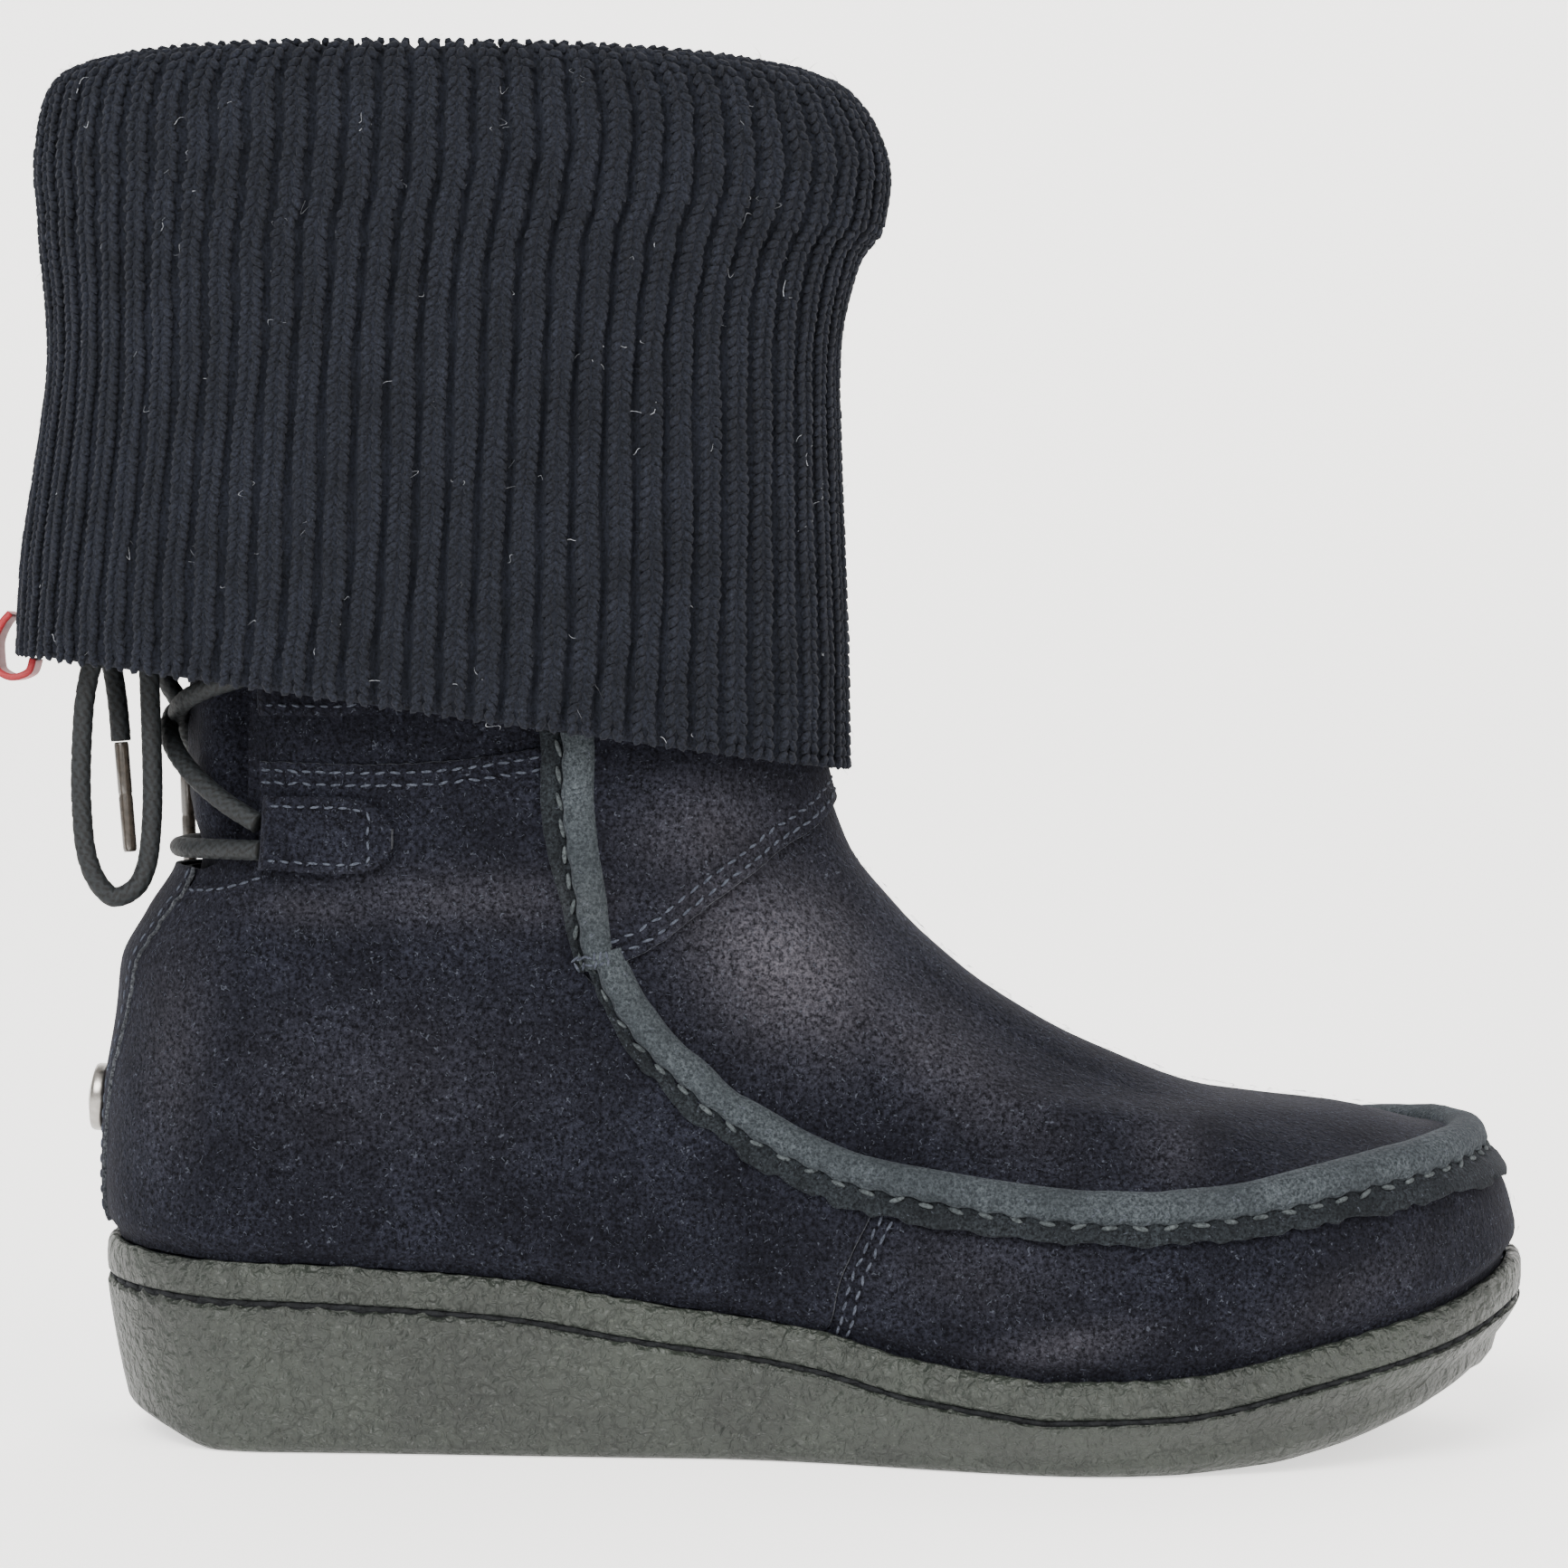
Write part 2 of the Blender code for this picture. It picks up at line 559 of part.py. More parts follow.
def make_upper(finish):
    """One hollow wall, open underneath, at the collar and at the back throat."""
    levels = UPPER_LEVELS
    outer = [skin(ANGLES, np.full(AROUND, level)) for level in levels]
    inner = [skin(ANGLES, np.full(AROUND, level), -WALL) for level in UPPER_LEVELS_INSIDE[::-1]]
    loops = outer + inner
    upper = add_object("upper", np.concatenate(loops), loop_faces(len(loops), AROUND, True), finish)
    half = NOTCH_WIDTH / 2
    top = COLLAR_HEIGHT + WALL
    shift = centre_line(SHAFT_CENTRE - SHAFT_LENGTH / 2).item()
    arc = np.linspace(0, pi / 2, 5)
    right = [(half - NOTCH_RADIUS * (1 - sin(a)), NOTCH_FLOOR + NOTCH_RADIUS * (1 - cos(a)))
             for a in arc]
    shape = right + [(half, top), (-half, top)] + [(-y, z) for y, z in reversed(right)]
    back = SHAFT_CENTRE - SHAFT_LENGTH * 0.75
    front = SHAFT_CENTRE - SHAFT_LENGTH * 0.20
    ends_of_cut = [[(x, shift + y, z) for y, z in shape] for x in (back, front)]
    cut(upper, swept("notch", [np.array(end) for end in ends_of_cut], finish))
    return upper


def seam_places(count):
    """Run of the moccasin seam on the outer side, from the toe's tip to the strip's foot."""
    leave = locate(0.021, 0.320)
    ring = [(angle, RING_ROW) for angle in np.linspace(0, leave[0] - 0.06, 9)]
    return resample(ring + [locate(*place) for place in SEAM_RISE], count)


def strip_places(count):
    return resample([locate(*place) for place in STRIP_RUN], count)


def seam_shape(mirror=1):
    """Profile of the pinched seam: roll, stitched valley and cut edge, from across and lift."""
    half = SEAM_WIDTH / 2
    roll = SEAM_ROLL
    shape = ((-half, SEAT), (-half, roll * 0.40), (-half * 0.45, roll * 0.46), (-half * 0.15, roll * 0.30),
             (half * 0.05, roll * 0.76), (half * 0.42, roll), (half * 0.85, roll * 0.76), (half, SEAT),
             (half * 0.4, SEAT), (0, SEAT), (-half * 0.4, SEAT))
    return [(mirror * across, lift) for across, lift in shape]


def make_seams(finish):
    side = seam_places(20)
    whole = np.concatenate([mirrored(side)[:0:-1], side])
    seam_body("moc_seam", whole, seam_shape(1), finish)
    strip = strip_places(9)
    seam_body("collar_strip_lateral", strip, seam_shape(1), finish)
    seam_body("collar_strip_medial", mirrored(strip), seam_shape(-1), finish)


def panel_grid(lift, around, up):
    """Front collar panel between the two strips, over its slanting lower edge."""
    strip = strip_places(12)
    edge = beside(strip, SEAM_WIDTH * 0.5 + GAP)
    order = np.argsort(edge[:, 1])
    low = [locate(*place) for place in PANEL_EDGE]
    low_angles = np.array([0] + [angle for angle, _ in reversed(low)])
    low_rows = np.array([low[-1][1] + 0.15] + [row for _, row in reversed(low)])
    top = float(edge[:, 1].max())
    grid = []
    for share_up in np.linspace(0, 1, up):
        places = []
        for share in np.linspace(-1, 1, around):
            row = np.interp(abs(share) * low_angles[-1], low_angles, low_rows)
            row = row + (top - row) * share_up
            reach = np.interp(row, edge[order, 1], edge[order, 0])
            places.append((share * reach, row))
        places = np.array(places)
        grid.append(skin(places[:, 0], places[:, 1], lift))
    return np.array(grid)


def make_front_panel(finish):
    around, up = 17, 11
    seat = SEAT + GAP
    slab("front_panel", panel_grid(seat + OVERLAY, around, up), panel_grid(seat, around, up), finish)


def skin_grid(angle_rows, rows, lift):
    return np.array([skin(angles, np.full(len(angles), row), lift)
                     for angles, row in zip(angle_rows, rows)])


def make_backstay(finish):
    """Strip up the back of the heel, narrow at the sole and wide under the throat."""
    levels, halves = columns(BACKSTAY_HALF)
    rows = np.array([level for level in UPPER_LEVELS if 3.4 < level < 9.8])
    back = bare_skin(np.full(len(rows), pi), rows)[:, 2] / COLLAR_HEIGHT
    half = np.interp(back, levels, halves)
    angle_rows = [np.linspace(pi - h, pi + h, 7) for h in half]
    slab("backstay", skin_grid(angle_rows, rows, SEAT + OVERLAY), skin_grid(angle_rows, rows, SEAT), finish)


def make_gusset(finish):
    """Thin folded wall that closes the back throat from inside."""
    reach = 1.02
    low = locate(-0.40, 0.585)[1]
    rows = np.linspace(low, TOP_ROW - 0.95, 7)
    angle_rows = [np.linspace(pi - reach, pi + reach, 13)] * len(rows)
    near = -WALL - 2 * GAP
    slab("gusset", skin_grid(angle_rows, rows, near),
         skin_grid(angle_rows, rows, near - GUSSET_THICKNESS), finish)


def tab_grid(along, up, side, base):
    """Lace tab: its rear fold is thick enough for the lace, its front end is round."""
    half = TAB_LENGTH / 2
    start = locate(along - half / SOLE_LENGTH, up)
    end = locate(along + half / SOLE_LENGTH, up)
    shares = np.array([0, 0.08, 0.22, 0.34, 0.55, 0.78, 0.92, 1.0])
    places = np.array(start) + shares[:, None] * (np.array(end) - np.array(start))
    widths = np.array([0.98, 1, 1, 1, 1, 1, 0.86, 0.55]) * TAB_HEIGHT / 2
    lifts = GAP + np.array([LACE * 0.9, LACE * 1.1, LACE * 1.05, LACE * 0.7, 0.0022, 0.002, 0.002, 0.0017])
    if base:
        lifts = np.full(len(shares), GAP)
    grid = []
    for across in np.linspace(-1, 1, 4):
        moved = beside(places, across * widths)
        if side < 0:
            moved = mirrored(moved)
        grid.append(skin(moved[:, 0], moved[:, 1], lifts))
    return np.array(grid)


def make_tabs(finish):
    for name, along, up in TAB_PLACES:
        for side, word in ((1, "lateral"), (-1, "medial")):
            slab(f"lace_tab_{word}_{name}", tab_grid(along, up, side, False),
                 tab_grid(along, up, side, True), finish)


def make_stud(finish):
    """Domed metal stud on the backstay."""
    rows = np.linspace(3.5, 9, 60)
    levels = bare_skin(np.full(60, pi), rows)[:, 2]
    row = np.interp(STUD_LEVEL, levels, rows)
    foot = skin(pi, row, SEAT + GAP + OVERLAY)[0]
    axis = outward_at(np.array([pi]), np.array([row]))[0]
    upward = np.cross(axis, (0, 1, 0))
    upward /= np.linalg.norm(upward)
    aside = np.cross(upward, axis)
    radius, count = STUD_DIAMETER / 2, 16
    dome = ((1.0, 0.0), (1.0, 0.25), (0.86, 0.55), (0.6, 0.82), (0.3, 0.96))
    loops = []
    for share, rise in dome:
        angles = np.arange(count) * 2 * pi / count
        ring = foot + axis * rise * STUD_HEIGHT + radius * share * (
            np.cos(angles)[:, None] * aside + np.sin(angles)[:, None] * upward)
        loops.append(ring)
    swept("heel_stud", loops, finish)


def cuff_middle(angles):
    """Loops of the knit's middle surface from the hem over the fold into the shaft."""
    along = (1 + np.cos(angles)) / 2
    back_edge = SHAFT_CENTRE - SHAFT_LENGTH / 2
    front_edge = SHAFT_CENTRE + SHAFT_LENGTH / 2
    loops = []
    for up_back, up_front, back, front, half in CUFF_ROWS:
        back_x = back_edge - back * SHAFT_LENGTH
        front_x = front_edge + front * SHAFT_LENGTH
        x = back_x + (front_x - back_x) * along
        level = CUFF_TOP * (up_back + (up_front - up_back) * along)
        reach = (SHAFT_WIDTH / 2 + half * SHAFT_LENGTH) * ends(along, 0.44, 0.46)
        y = centre_line(x) - np.sign(np.sin(angles)) * reach
        loops.append(np.column_stack([x, y, level]))
    inside = -WALL - GAP - KNIT / 2
    top = skin(angles, np.full(len(angles), TOP_ROW), inside) + (0, 0, WALL)
    foot = skin(angles, np.full(len(angles), TOP_ROW - 0.80), inside)
    return np.array(loops + [top, foot])


def make_cuff(finish):
    """Folded knit cuff as one tube wall: hem, fold and inner layer."""
    angles = np.arange(CUFF_AROUND) * 2 * pi / CUFF_AROUND
    middle = cuff_middle(angles)
    run_up = np.gradient(middle, axis=0)
    run_round = np.roll(middle, -1, axis=1) - np.roll(middle, 1, axis=1)
    outward = np.cross(run_up, run_round)
    outward /= np.linalg.norm(outward, axis=2, keepdims=True)
    over = middle + outward * KNIT / 2
    under = middle - outward * KNIT / 2
    loops = np.concatenate([over, under[::-1]])
    return add_object("knit_cuff", loops.reshape(-1, 3), loop_faces(len(loops), CUFF_AROUND, True), finish)


def make_pull_tape(finish):
    """Small tape loop sewn to the hem at the back."""
    back = SHAFT_CENTRE - SHAFT_LENGTH / 2
    hem = CUFF_ROWS[0]
    face = back - hem[2] * SHAFT_LENGTH - KNIT / 2 - GAP - TAPE / 2
    level = CUFF_TOP * hem[0]
    run = ((0.0, 0.0075), (-0.0016, 0.0055), (-0.0030, 0.0015), (-0.0026, -0.0030),
           (0.0004, -0.0048), (0.0036, -0.0036), (0.0044, -0.0012))
    route = np.array([(face + x, level + z) for x, z in run])
    fine = smooth(np.arange(len(route)), route, np.linspace(0, len(route) - 1, 14))
    turn = np.gradient(fine, axis=0)
    normal = np.column_stack([turn[:, 1], -turn[:, 0]])
    normal /= np.linalg.norm(normal, axis=1, keepdims=True)
    middle = centre_line(back).item()
    sides = (middle - TAPE_WIDTH / 2, middle + TAPE_WIDTH / 2)
    profiles = []
    for here, off in zip(fine, normal * TAPE / 2):
        near, far = here + off, here - off
        profiles.append(np.array([(near[0], sides[0], near[1]), (near[0], sides[1], near[1]),
                                  (far[0], sides[1], far[1]), (far[0], sides[0], far[1])]))
    swept("pull_tape", profiles, finish)


def lace_places(places):
    """Skin points of a lace's places, each an angle, a height share and a lift."""
    route = []
    for angle, up, lift in places:
        rows = np.linspace(8, TOP_ROW, 120)
        levels = bare_skin(np.full(120, angle), rows)[:, 2]
        route.append((angle, np.interp(height(up), levels, rows), lift))
    return np.array(route)


def lace_run(name, places, finish, points=12):
    """A lace lying over the back throat."""
    route = smooth((0, 1, 2), lace_places(places), np.linspace(0, 2, points))
    path = skin(route[:, 0], route[:, 1], route[:, 2])
    return tube(name, path, LACE, finish, points)


def make_laces(lace, metal):
    rear = locate(TAB_PLACES[0][1] - TAB_LENGTH / 2 / SOLE_LENGTH, TAB_PLACES[0][2])[0]
    edge = rear + 0.03
    over = LACE / 2 + 2 * GAP
    lower = TAB_PLACES[0][2]
    upper = TAB_PLACES[1][2]
    sink = LACE * 0.12
    far = 2 * pi - edge
    lace_run("lace_bar", ((edge, lower - 0.018, over), (pi, lower - 0.020, sink),
                          (far, lower - 0.018, over)), lace)
    lace_run("lace_crossings", ((edge, lower + 0.012, over), (pi, 0.790, sink),
                                (far, upper, over)), lace)
    second = lace_run("lace_second_crossing", ((edge, upper, over), (pi, 0.790, sink),
                                               (far, lower + 0.012, over)), lace)
    join(bpy.data.objects["lace_crossings"], second)
    for word, side in (("lateral", -1), ("medial", 1)):
        reach = pi - edge
        places = lace_places(((pi + side * reach, upper + 0.027, over),
                              (pi + side * reach * 0.6, upper + 0.050, LACE * 0.40),
                              (pi + side * reach * 0.3, upper + 0.072, LACE * 0.60)))
        path = skin(places[:, 0], places[:, 1], places[:, 2])
        tie_end = (TIE_END[0], KNOT_CENTRE[1] + side * TIE_END[1], TIE_END[2])
        tube(f"lace_tie_{word}", np.vstack([path, [tie_end]]), LACE, lace, 9)
    tube("lace_loop_lateral", LOOP_LATERAL, LACE, lace, 17)
    tube("lace_loop_medial", LOOP_MEDIAL, LACE, lace, 15)
    tube("lace_end_lateral", END_LATERAL, LACE, lace, 7)
    tube("lace_end_medial", END_MEDIAL, LACE, lace, 7)
    for word, route in (("lateral", END_LATERAL), ("medial", END_MEDIAL)):
        tip = np.array(route[-1])
        run = tip - np.array(route[-2])
        run /= np.linalg.norm(run)
        start = tip + run * GAP
        tube(f"aglet_{word}", (start, start + run * AGLET_LENGTH), AGLET_DIAMETER, metal, 2)
    bpy.ops.mesh.primitive_uv_sphere_add(segments=10, ring_count=7, radius=0.5)
    knot = bpy.context.object
    knot.name = "lace_knot"
    knot.data.transform(Matrix.Diagonal((*KNOT_SIZE, 1)))
    knot.location = KNOT_CENTRE
    knot.data.materials.append(lace)


def join(first, second):
    """Two crossing laces as one body."""
    graph = bpy.context.evaluated_depsgraph_get()
    for piece in (first, second):
        mesh = bpy.data.meshes.new_from_object(piece.evaluated_get(graph))
        solid = bpy.data.objects.new(piece.name + "_solid", mesh)
        bpy.context.scene.collection.objects.link(solid)
    name, finish = first.name, first.data.materials[0]
    solids = [bpy.data.objects[piece.name + "_solid"] for piece in (first, second)]
    step = solids[0].modifiers.new("join", "BOOLEAN")
    step.operation = "UNION"
    step.solver = "EXACT"
    step.object = solids[1]
    graph = bpy.context.evaluated_depsgraph_get()
    result = bpy.data.meshes.new_from_object(solids[0].evaluated_get(graph))
    for piece in (first, second, *solids):
        bpy.data.objects.remove(piece)
    made = bpy.data.objects.new(name, result)
    bpy.context.scene.collection.objects.link(made)
    if not result.materials:
        result.materials.append(finish)


def main():
    for old in list(bpy.data.objects):
        bpy.data.objects.remove(old)
    rubber = material("sole rubber", (0.10, 0.115, 0.095), 0.75)
    suede = material("navy suede", (0.012, 0.015, 0.026), 0.95)
    piping = material("seam leather", (0.035, 0.05, 0.055), 0.8)
    knit = material("rib knit", (0.016, 0.019, 0.025), 0.95)
    cord = material("lace cord", (0.012, 0.016, 0.02), 0.9)
    tape = material("red tape", (0.55, 0.02, 0.04), 0.7)
    metal = material("stud metal", (0.6, 0.6, 0.58), 0.3, 1.0)
    aglet = material("aglet plastic", (0.12, 0.09, 0.07), 0.3)
    lining = material("lining cloth", (0.02, 0.02, 0.022), 0.95)
    make_outsole(rubber)
    make_insole(lining)
    make_upper(suede)
    make_seams(piping)
    make_front_panel(suede)
    make_backstay(suede)
    make_gusset(suede)
    make_tabs(suede)
    make_stud(metal)
    make_cuff(knit)
    make_pull_tape(tape)
    make_laces(cord, aglet)


main()
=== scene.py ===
from math import cos, pi, radians, sin

import bmesh
import bpy
import numpy as np
from mathutils import Matrix


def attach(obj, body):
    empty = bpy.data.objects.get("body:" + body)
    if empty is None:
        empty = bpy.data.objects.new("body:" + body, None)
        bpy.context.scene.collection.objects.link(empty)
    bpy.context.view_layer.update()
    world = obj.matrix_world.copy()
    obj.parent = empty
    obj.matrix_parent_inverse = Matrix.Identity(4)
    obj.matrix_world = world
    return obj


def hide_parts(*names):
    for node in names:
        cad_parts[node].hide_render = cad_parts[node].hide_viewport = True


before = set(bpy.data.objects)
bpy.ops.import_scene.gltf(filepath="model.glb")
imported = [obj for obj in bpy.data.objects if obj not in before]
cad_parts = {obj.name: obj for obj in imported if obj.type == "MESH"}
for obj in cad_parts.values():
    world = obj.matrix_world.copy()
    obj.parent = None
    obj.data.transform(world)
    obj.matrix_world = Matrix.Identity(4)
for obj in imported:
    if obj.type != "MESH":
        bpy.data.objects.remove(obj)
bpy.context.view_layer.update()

# Suede moccasin boot with a folded rib-knit cuff, right foot, on a crepe rubber cup sole.
# Metres, +Z up, toe at +X, outer side at -Y. A place on the upper is an angle, which runs from
# the toe's tip over the outer side to the heel, and a row, which runs up from the cup's floor.

MM = 0.001
SEED = 20

# Sole sizes, as in the part's source
SOLE_LENGTH = 0.273
HEEL_WIDTH = 0.070
WAIST_WIDTH = 0.067
BALL_WIDTH = 0.098
TOE_WIDTH = 0.096
HEEL_RIM_HEIGHT = 0.0375
BALL_RIM_HEIGHT = 0.0180
TOE_RIM_HEIGHT = 0.0360
TOE_SPRING = 0.0200
RIM_BAND = 0.0068
RIM_THICKNESS = 0.0026
GROOVE_HEIGHT = 0.0015
GROOVE_DEPTH = 0.0012
CUP_DEPTH = 0.0090
SIDE_LEAN = 0.0040
EDGE_RADIUS = 0.0025
TREAD_DEPTH = 0.0020
TREAD_GROOVE = 0.0030
TREAD_PITCH = 0.0145
TREAD_MARGIN = 0.0110
INSOLE_THICKNESS = 0.0040

# Upper sizes, as in the part's source
WALL = 0.0020
INSTEP_HEIGHT = 0.0757
INSTEP_SHARE = 0.44
COLLAR_HEIGHT = 0.1720
SHAFT_LENGTH = 0.1210
SHAFT_WIDTH = 0.0650
SHAFT_CENTRE = -0.0593
GAP = 0.0003
NOTCH_WIDTH = 0.0440
NOTCH_FLOOR = 0.1080
NOTCH_RADIUS = 0.0080
STUD_DIAMETER = 0.0130
STUD_HEIGHT = 0.0030
STUD_LEVEL = 0.0630
CUFF_TOP = 0.2650
KNIT = 0.0034
LACE = 0.0038
AGLET_DIAMETER = 0.0028
AGLET_LENGTH = 0.0210
TAPE_WIDTH = 0.0080

SOLE_STATIONS = (0.00, 0.14, 0.42, 0.71, 0.88, 1.00)
SOLE_WIDTHS = (HEEL_WIDTH, HEEL_WIDTH, WAIST_WIDTH, BALL_WIDTH, TOE_WIDTH, TOE_WIDTH)
SOLE_CENTRES = (0.000, 0.000, -0.033, -0.020, 0.045, 0.095)
HEEL_ROUND = 0.135
TOE_ROUND = 0.205
RIM_TO_HEEL = ((-0.50, 1.00), (-0.41, 0.94), (-0.33, 0.91), (-0.205, 0.81), (-0.118, 0.62),
               (0.007, 0.37), (0.064, 0.17), (0.155, 0.00))
RIM_TO_TOE = ((0.155, 0.00), (0.247, 0.06), (0.339, 0.33), (0.438, 0.66), (0.50, 1.00))
TREAD_RISE = ((-0.50, 0.22), (-0.455, 0.10), (-0.415, 0.00), (0.235, 0.00), (0.315, 0.15),
              (0.366, 0.36), (0.42, 0.65), (0.48, 1.00))
LEVEL_STATIONS = (0.00, 0.43, 0.73, 1.00)
WIDTH_STATIONS = (0.10, 0.43, 0.73, 0.92)
FOOT_ROWS = (
    (-0.500, 0.494, 0.302, 0.238, 0.200, 0.286, 0.985, 0.985, 1.005, 0.970, 0.150, 0.200),
    (-0.4975, 0.480, 0.384, 0.337, 0.279, 0.329, 0.966, 0.955, 0.935, 0.910, 0.160, 0.185),
    (-0.494, 0.449, 0.430, 0.384, 0.334, 0.343, 0.949, 0.925, 0.780, 0.730, 0.170, 0.200),
    (-0.489, 0.381, 0.477, 0.430, 0.378, 0.370, 0.931, 0.896, 0.690, 0.580, 0.180, 0.220),
    (-0.484, 0.289, 0.523, 0.488, 0.419, 0.389, 0.914, 0.881, 0.633, 0.470, 0.200, 0.250),
    (-0.465, 0.198, 0.576, 0.547, 0.483, 0.440, 0.900, 0.881, 0.602, 0.430, 0.220, 0.280),
)
SHAFT_ROWS = (
    (-1.020, 1.510, 0.634, 0.610, 0.561, 0.512, 0.954, 0.938, 0.923, 0.690, 0.270, 0.310),
    (-1.003, 1.255, 0.698, 0.680, 0.637, 0.590, 0.950, 0.950, 0.940, 0.750, 0.330, 0.360),
    (-1.000, 1.082, 0.767, 0.756, 0.721, 0.669, 0.960, 0.970, 0.960, 0.830, 0.380, 0.410),
    (-1.000, 1.000, 0.849, 0.843, 0.820, 0.773, 0.980, 1.000, 0.980, 0.880, 0.420, 0.450),
    (-1.000, 1.000, 0.930, 0.930, 0.922, 0.895, 1.000, 1.000, 1.000, 0.920, 0.440, 0.460),
    (-1.000, 1.000, 1.000, 1.000, 1.000, 1.000, 1.000, 1.000, 1.000, 0.940, 0.450, 0.470),
)
RING_ROW = 5
TOP_ROW = 15
SEAM_RISE = ((-0.016, 0.345), (-0.047, 0.371), (-0.078, 0.406), (-0.102, 0.440),
             (-0.121, 0.474), (-0.137, 0.517), (-0.1425, 0.538))
TAB_PLACES = (("lower", -0.3330, 0.6690), ("upper", -0.3360, 0.8420))
TAB_LENGTH = 0.0215
TAB_HEIGHT = 0.0145
BACKSTAY_HALF = ((0.235, 0.10), (0.30, 0.12), (0.40, 0.17), (0.50, 0.25), (0.600, 0.36))
CUFF_ROWS = (
    (0.561, 0.484, 0.264, 0.036, 0.082),
    (0.622, 0.577, 0.258, 0.030, 0.080),
    (0.774, 0.770, 0.216, 0.012, 0.074),
    (0.850, 0.850, 0.229, 0.044, 0.078),
    (0.876, 0.876, 0.233, 0.080, 0.080),
    (0.909, 0.909, 0.239, 0.089, 0.082),
    (0.950, 0.950, 0.228, 0.058, 0.076),
    (0.975, 0.974, 0.196, 0.006, 0.062),
    (0.983, 0.981, 0.130, -0.066, 0.044),
    (0.968, 0.966, 0.088, -0.110, 0.028),
    (0.850, 0.850, 0.040, -0.094, 0.010),
    (0.760, 0.760, 0.002, -0.060, -0.010),
)
LOOP_LATERAL = ((-0.1271, -0.0091, 0.1591), (-0.1284, -0.0116, 0.1586), (-0.1322, -0.0130, 0.1556),
                (-0.1364, -0.0134, 0.1480), (-0.1384, -0.0134, 0.1370), (-0.1388, -0.0134, 0.1250),
                (-0.1382, -0.0134, 0.1140), (-0.1362, -0.0134, 0.1065), (-0.1322, -0.0134, 0.1025),
                (-0.1282, -0.0134, 0.1045), (-0.1258, -0.0134, 0.1110), (-0.1252, -0.0134, 0.1220),
                (-0.1256, -0.0132, 0.1350), (-0.1262, -0.0124, 0.1460), (-0.1268, -0.0094, 0.1522),
                (-0.1270, -0.0071, 0.1545))
LOOP_MEDIAL = ((-0.1269, 0.0071, 0.1596), (-0.1260, 0.0102, 0.1600), (-0.1224, 0.0170, 0.1575),
               (-0.1168, 0.0248, 0.1500), (-0.1114, 0.0299, 0.1390), (-0.1074, 0.0324, 0.1270),
               (-0.1060, 0.0332, 0.1160), (-0.1072, 0.0326, 0.1090), (-0.1108, 0.0304, 0.1064),
               (-0.1146, 0.0276, 0.1100), (-0.1162, 0.0260, 0.1200), (-0.1178, 0.0238, 0.1320),
               (-0.1208, 0.0186, 0.1440), (-0.1246, 0.0114, 0.1510), (-0.1270, 0.0051, 0.1545))
END_LATERAL = ((-0.1315, -0.0010, 0.1604), (-0.1342, -0.0012, 0.1611), (-0.1366, -0.0020, 0.1585),
               (-0.1364, -0.0034, 0.1520), (-0.1342, -0.0048, 0.1450), (-0.1330, -0.0058, 0.1380),
               (-0.1324, -0.0062, 0.1320))
END_MEDIAL = ((-0.1270, -0.0010, 0.1521), (-0.1273, 0.0006, 0.1496), (-0.1272, 0.0056, 0.1466),
              (-0.1254, 0.0106, 0.1420), (-0.1232, 0.0144, 0.1365), (-0.1229, 0.0150, 0.1275))
TIE_END = (-0.1229, 0.0056, 0.1590)
KNOT_CENTRE = (-0.1270, -0.0010, 0.1590)

# How far the toe leans back and lifts at the moccasin seam and swells below it, and how far the
# heel draws in below its middle
TOE_DRAWN_IN = 0.0026
TOE_PUSHED_OUT = 0.0016
TOE_RAISED = 0.0018
HEEL_DRAWN_IN = 0.0017
HEEL_MIDDLE = 0.0740
HEEL_REACH = 0.0240

# Edges and stitch lines as millimetres along and up on the outer side
QUARTER_TOP = ((-103.2, 128.8), (-86.9, 128.6), (-75.2, 128.9), (-63.5, 130.0), (-50.5, 132.1))
QUARTER_NOTCH = ((-117.5, 104.5), (-110.0, 105.3), (-104.6, 107.5), (-103.4, 112.0), (-103.3, 128.8))
SIDE_SEAM = ((13.5, 51.0), (10.7, 46.2), (7.5, 39.5), (5.1, 32.8), (3.5, 26.1), (2.8, 22.0))
STRIP_VALLEY = ((-42.6, 90.6), (-43.3, 94.0), (-43.9, 98.1), (-45.5, 109.8), (-46.7, 119.8),
                (-47.3, 133.1), (-47.5, 144.5))
PANEL_EDGE = ((-36.5, 92.2), (-28.4, 96.2), (-20.0, 102.8), (-11.6, 108.9), (-3.6, 114.9))

# Soft troughs under zero and ridges over it, in millimetres: both ends along and up, half width,
# and height. They lie on both sides of the boot.
CREASES = (
    (-44, 100, -40, 78, 3.0, -0.7),
    (-40, 96, -34, 70, 3.0, 0.6),
    (-52, 92, -49, 66, 5.0, -0.5),
    (-60, 118, -56, 92, 6.0, 0.5),
    (-112, 103, -60, 101, 3.5, 0.5),
    (-108, 97, -66, 93, 4.0, -0.5),
    (-96, 86, -40, 80, 7.0, 0.4),
    (-14, 62, -4, 40, 6.0, -0.6),
    (-30, 66, -24, 40, 7.0, 0.5),
    (63, 66, 62, 50, 3.0, -0.6),
    (56, 68, 54, 50, 3.0, 0.4),
    (70, 64, 69, 50, 3.0, 0.4),
    (36, 76, 30, 56, 6.0, -0.5),
    (74, 46, 78, 30, 5.0, -0.5),
    (-14, 118, -4, 124, 3.0, -0.5),
    (-6, 112, 6, 104, 5.0, -0.6),
    (-20, 104, 4, 92, 8.0, 0.7),
    (40, 42, 60, 30, 7.0, 0.5),
    (-128, 84, -120, 60, 6.0, -0.5),
)
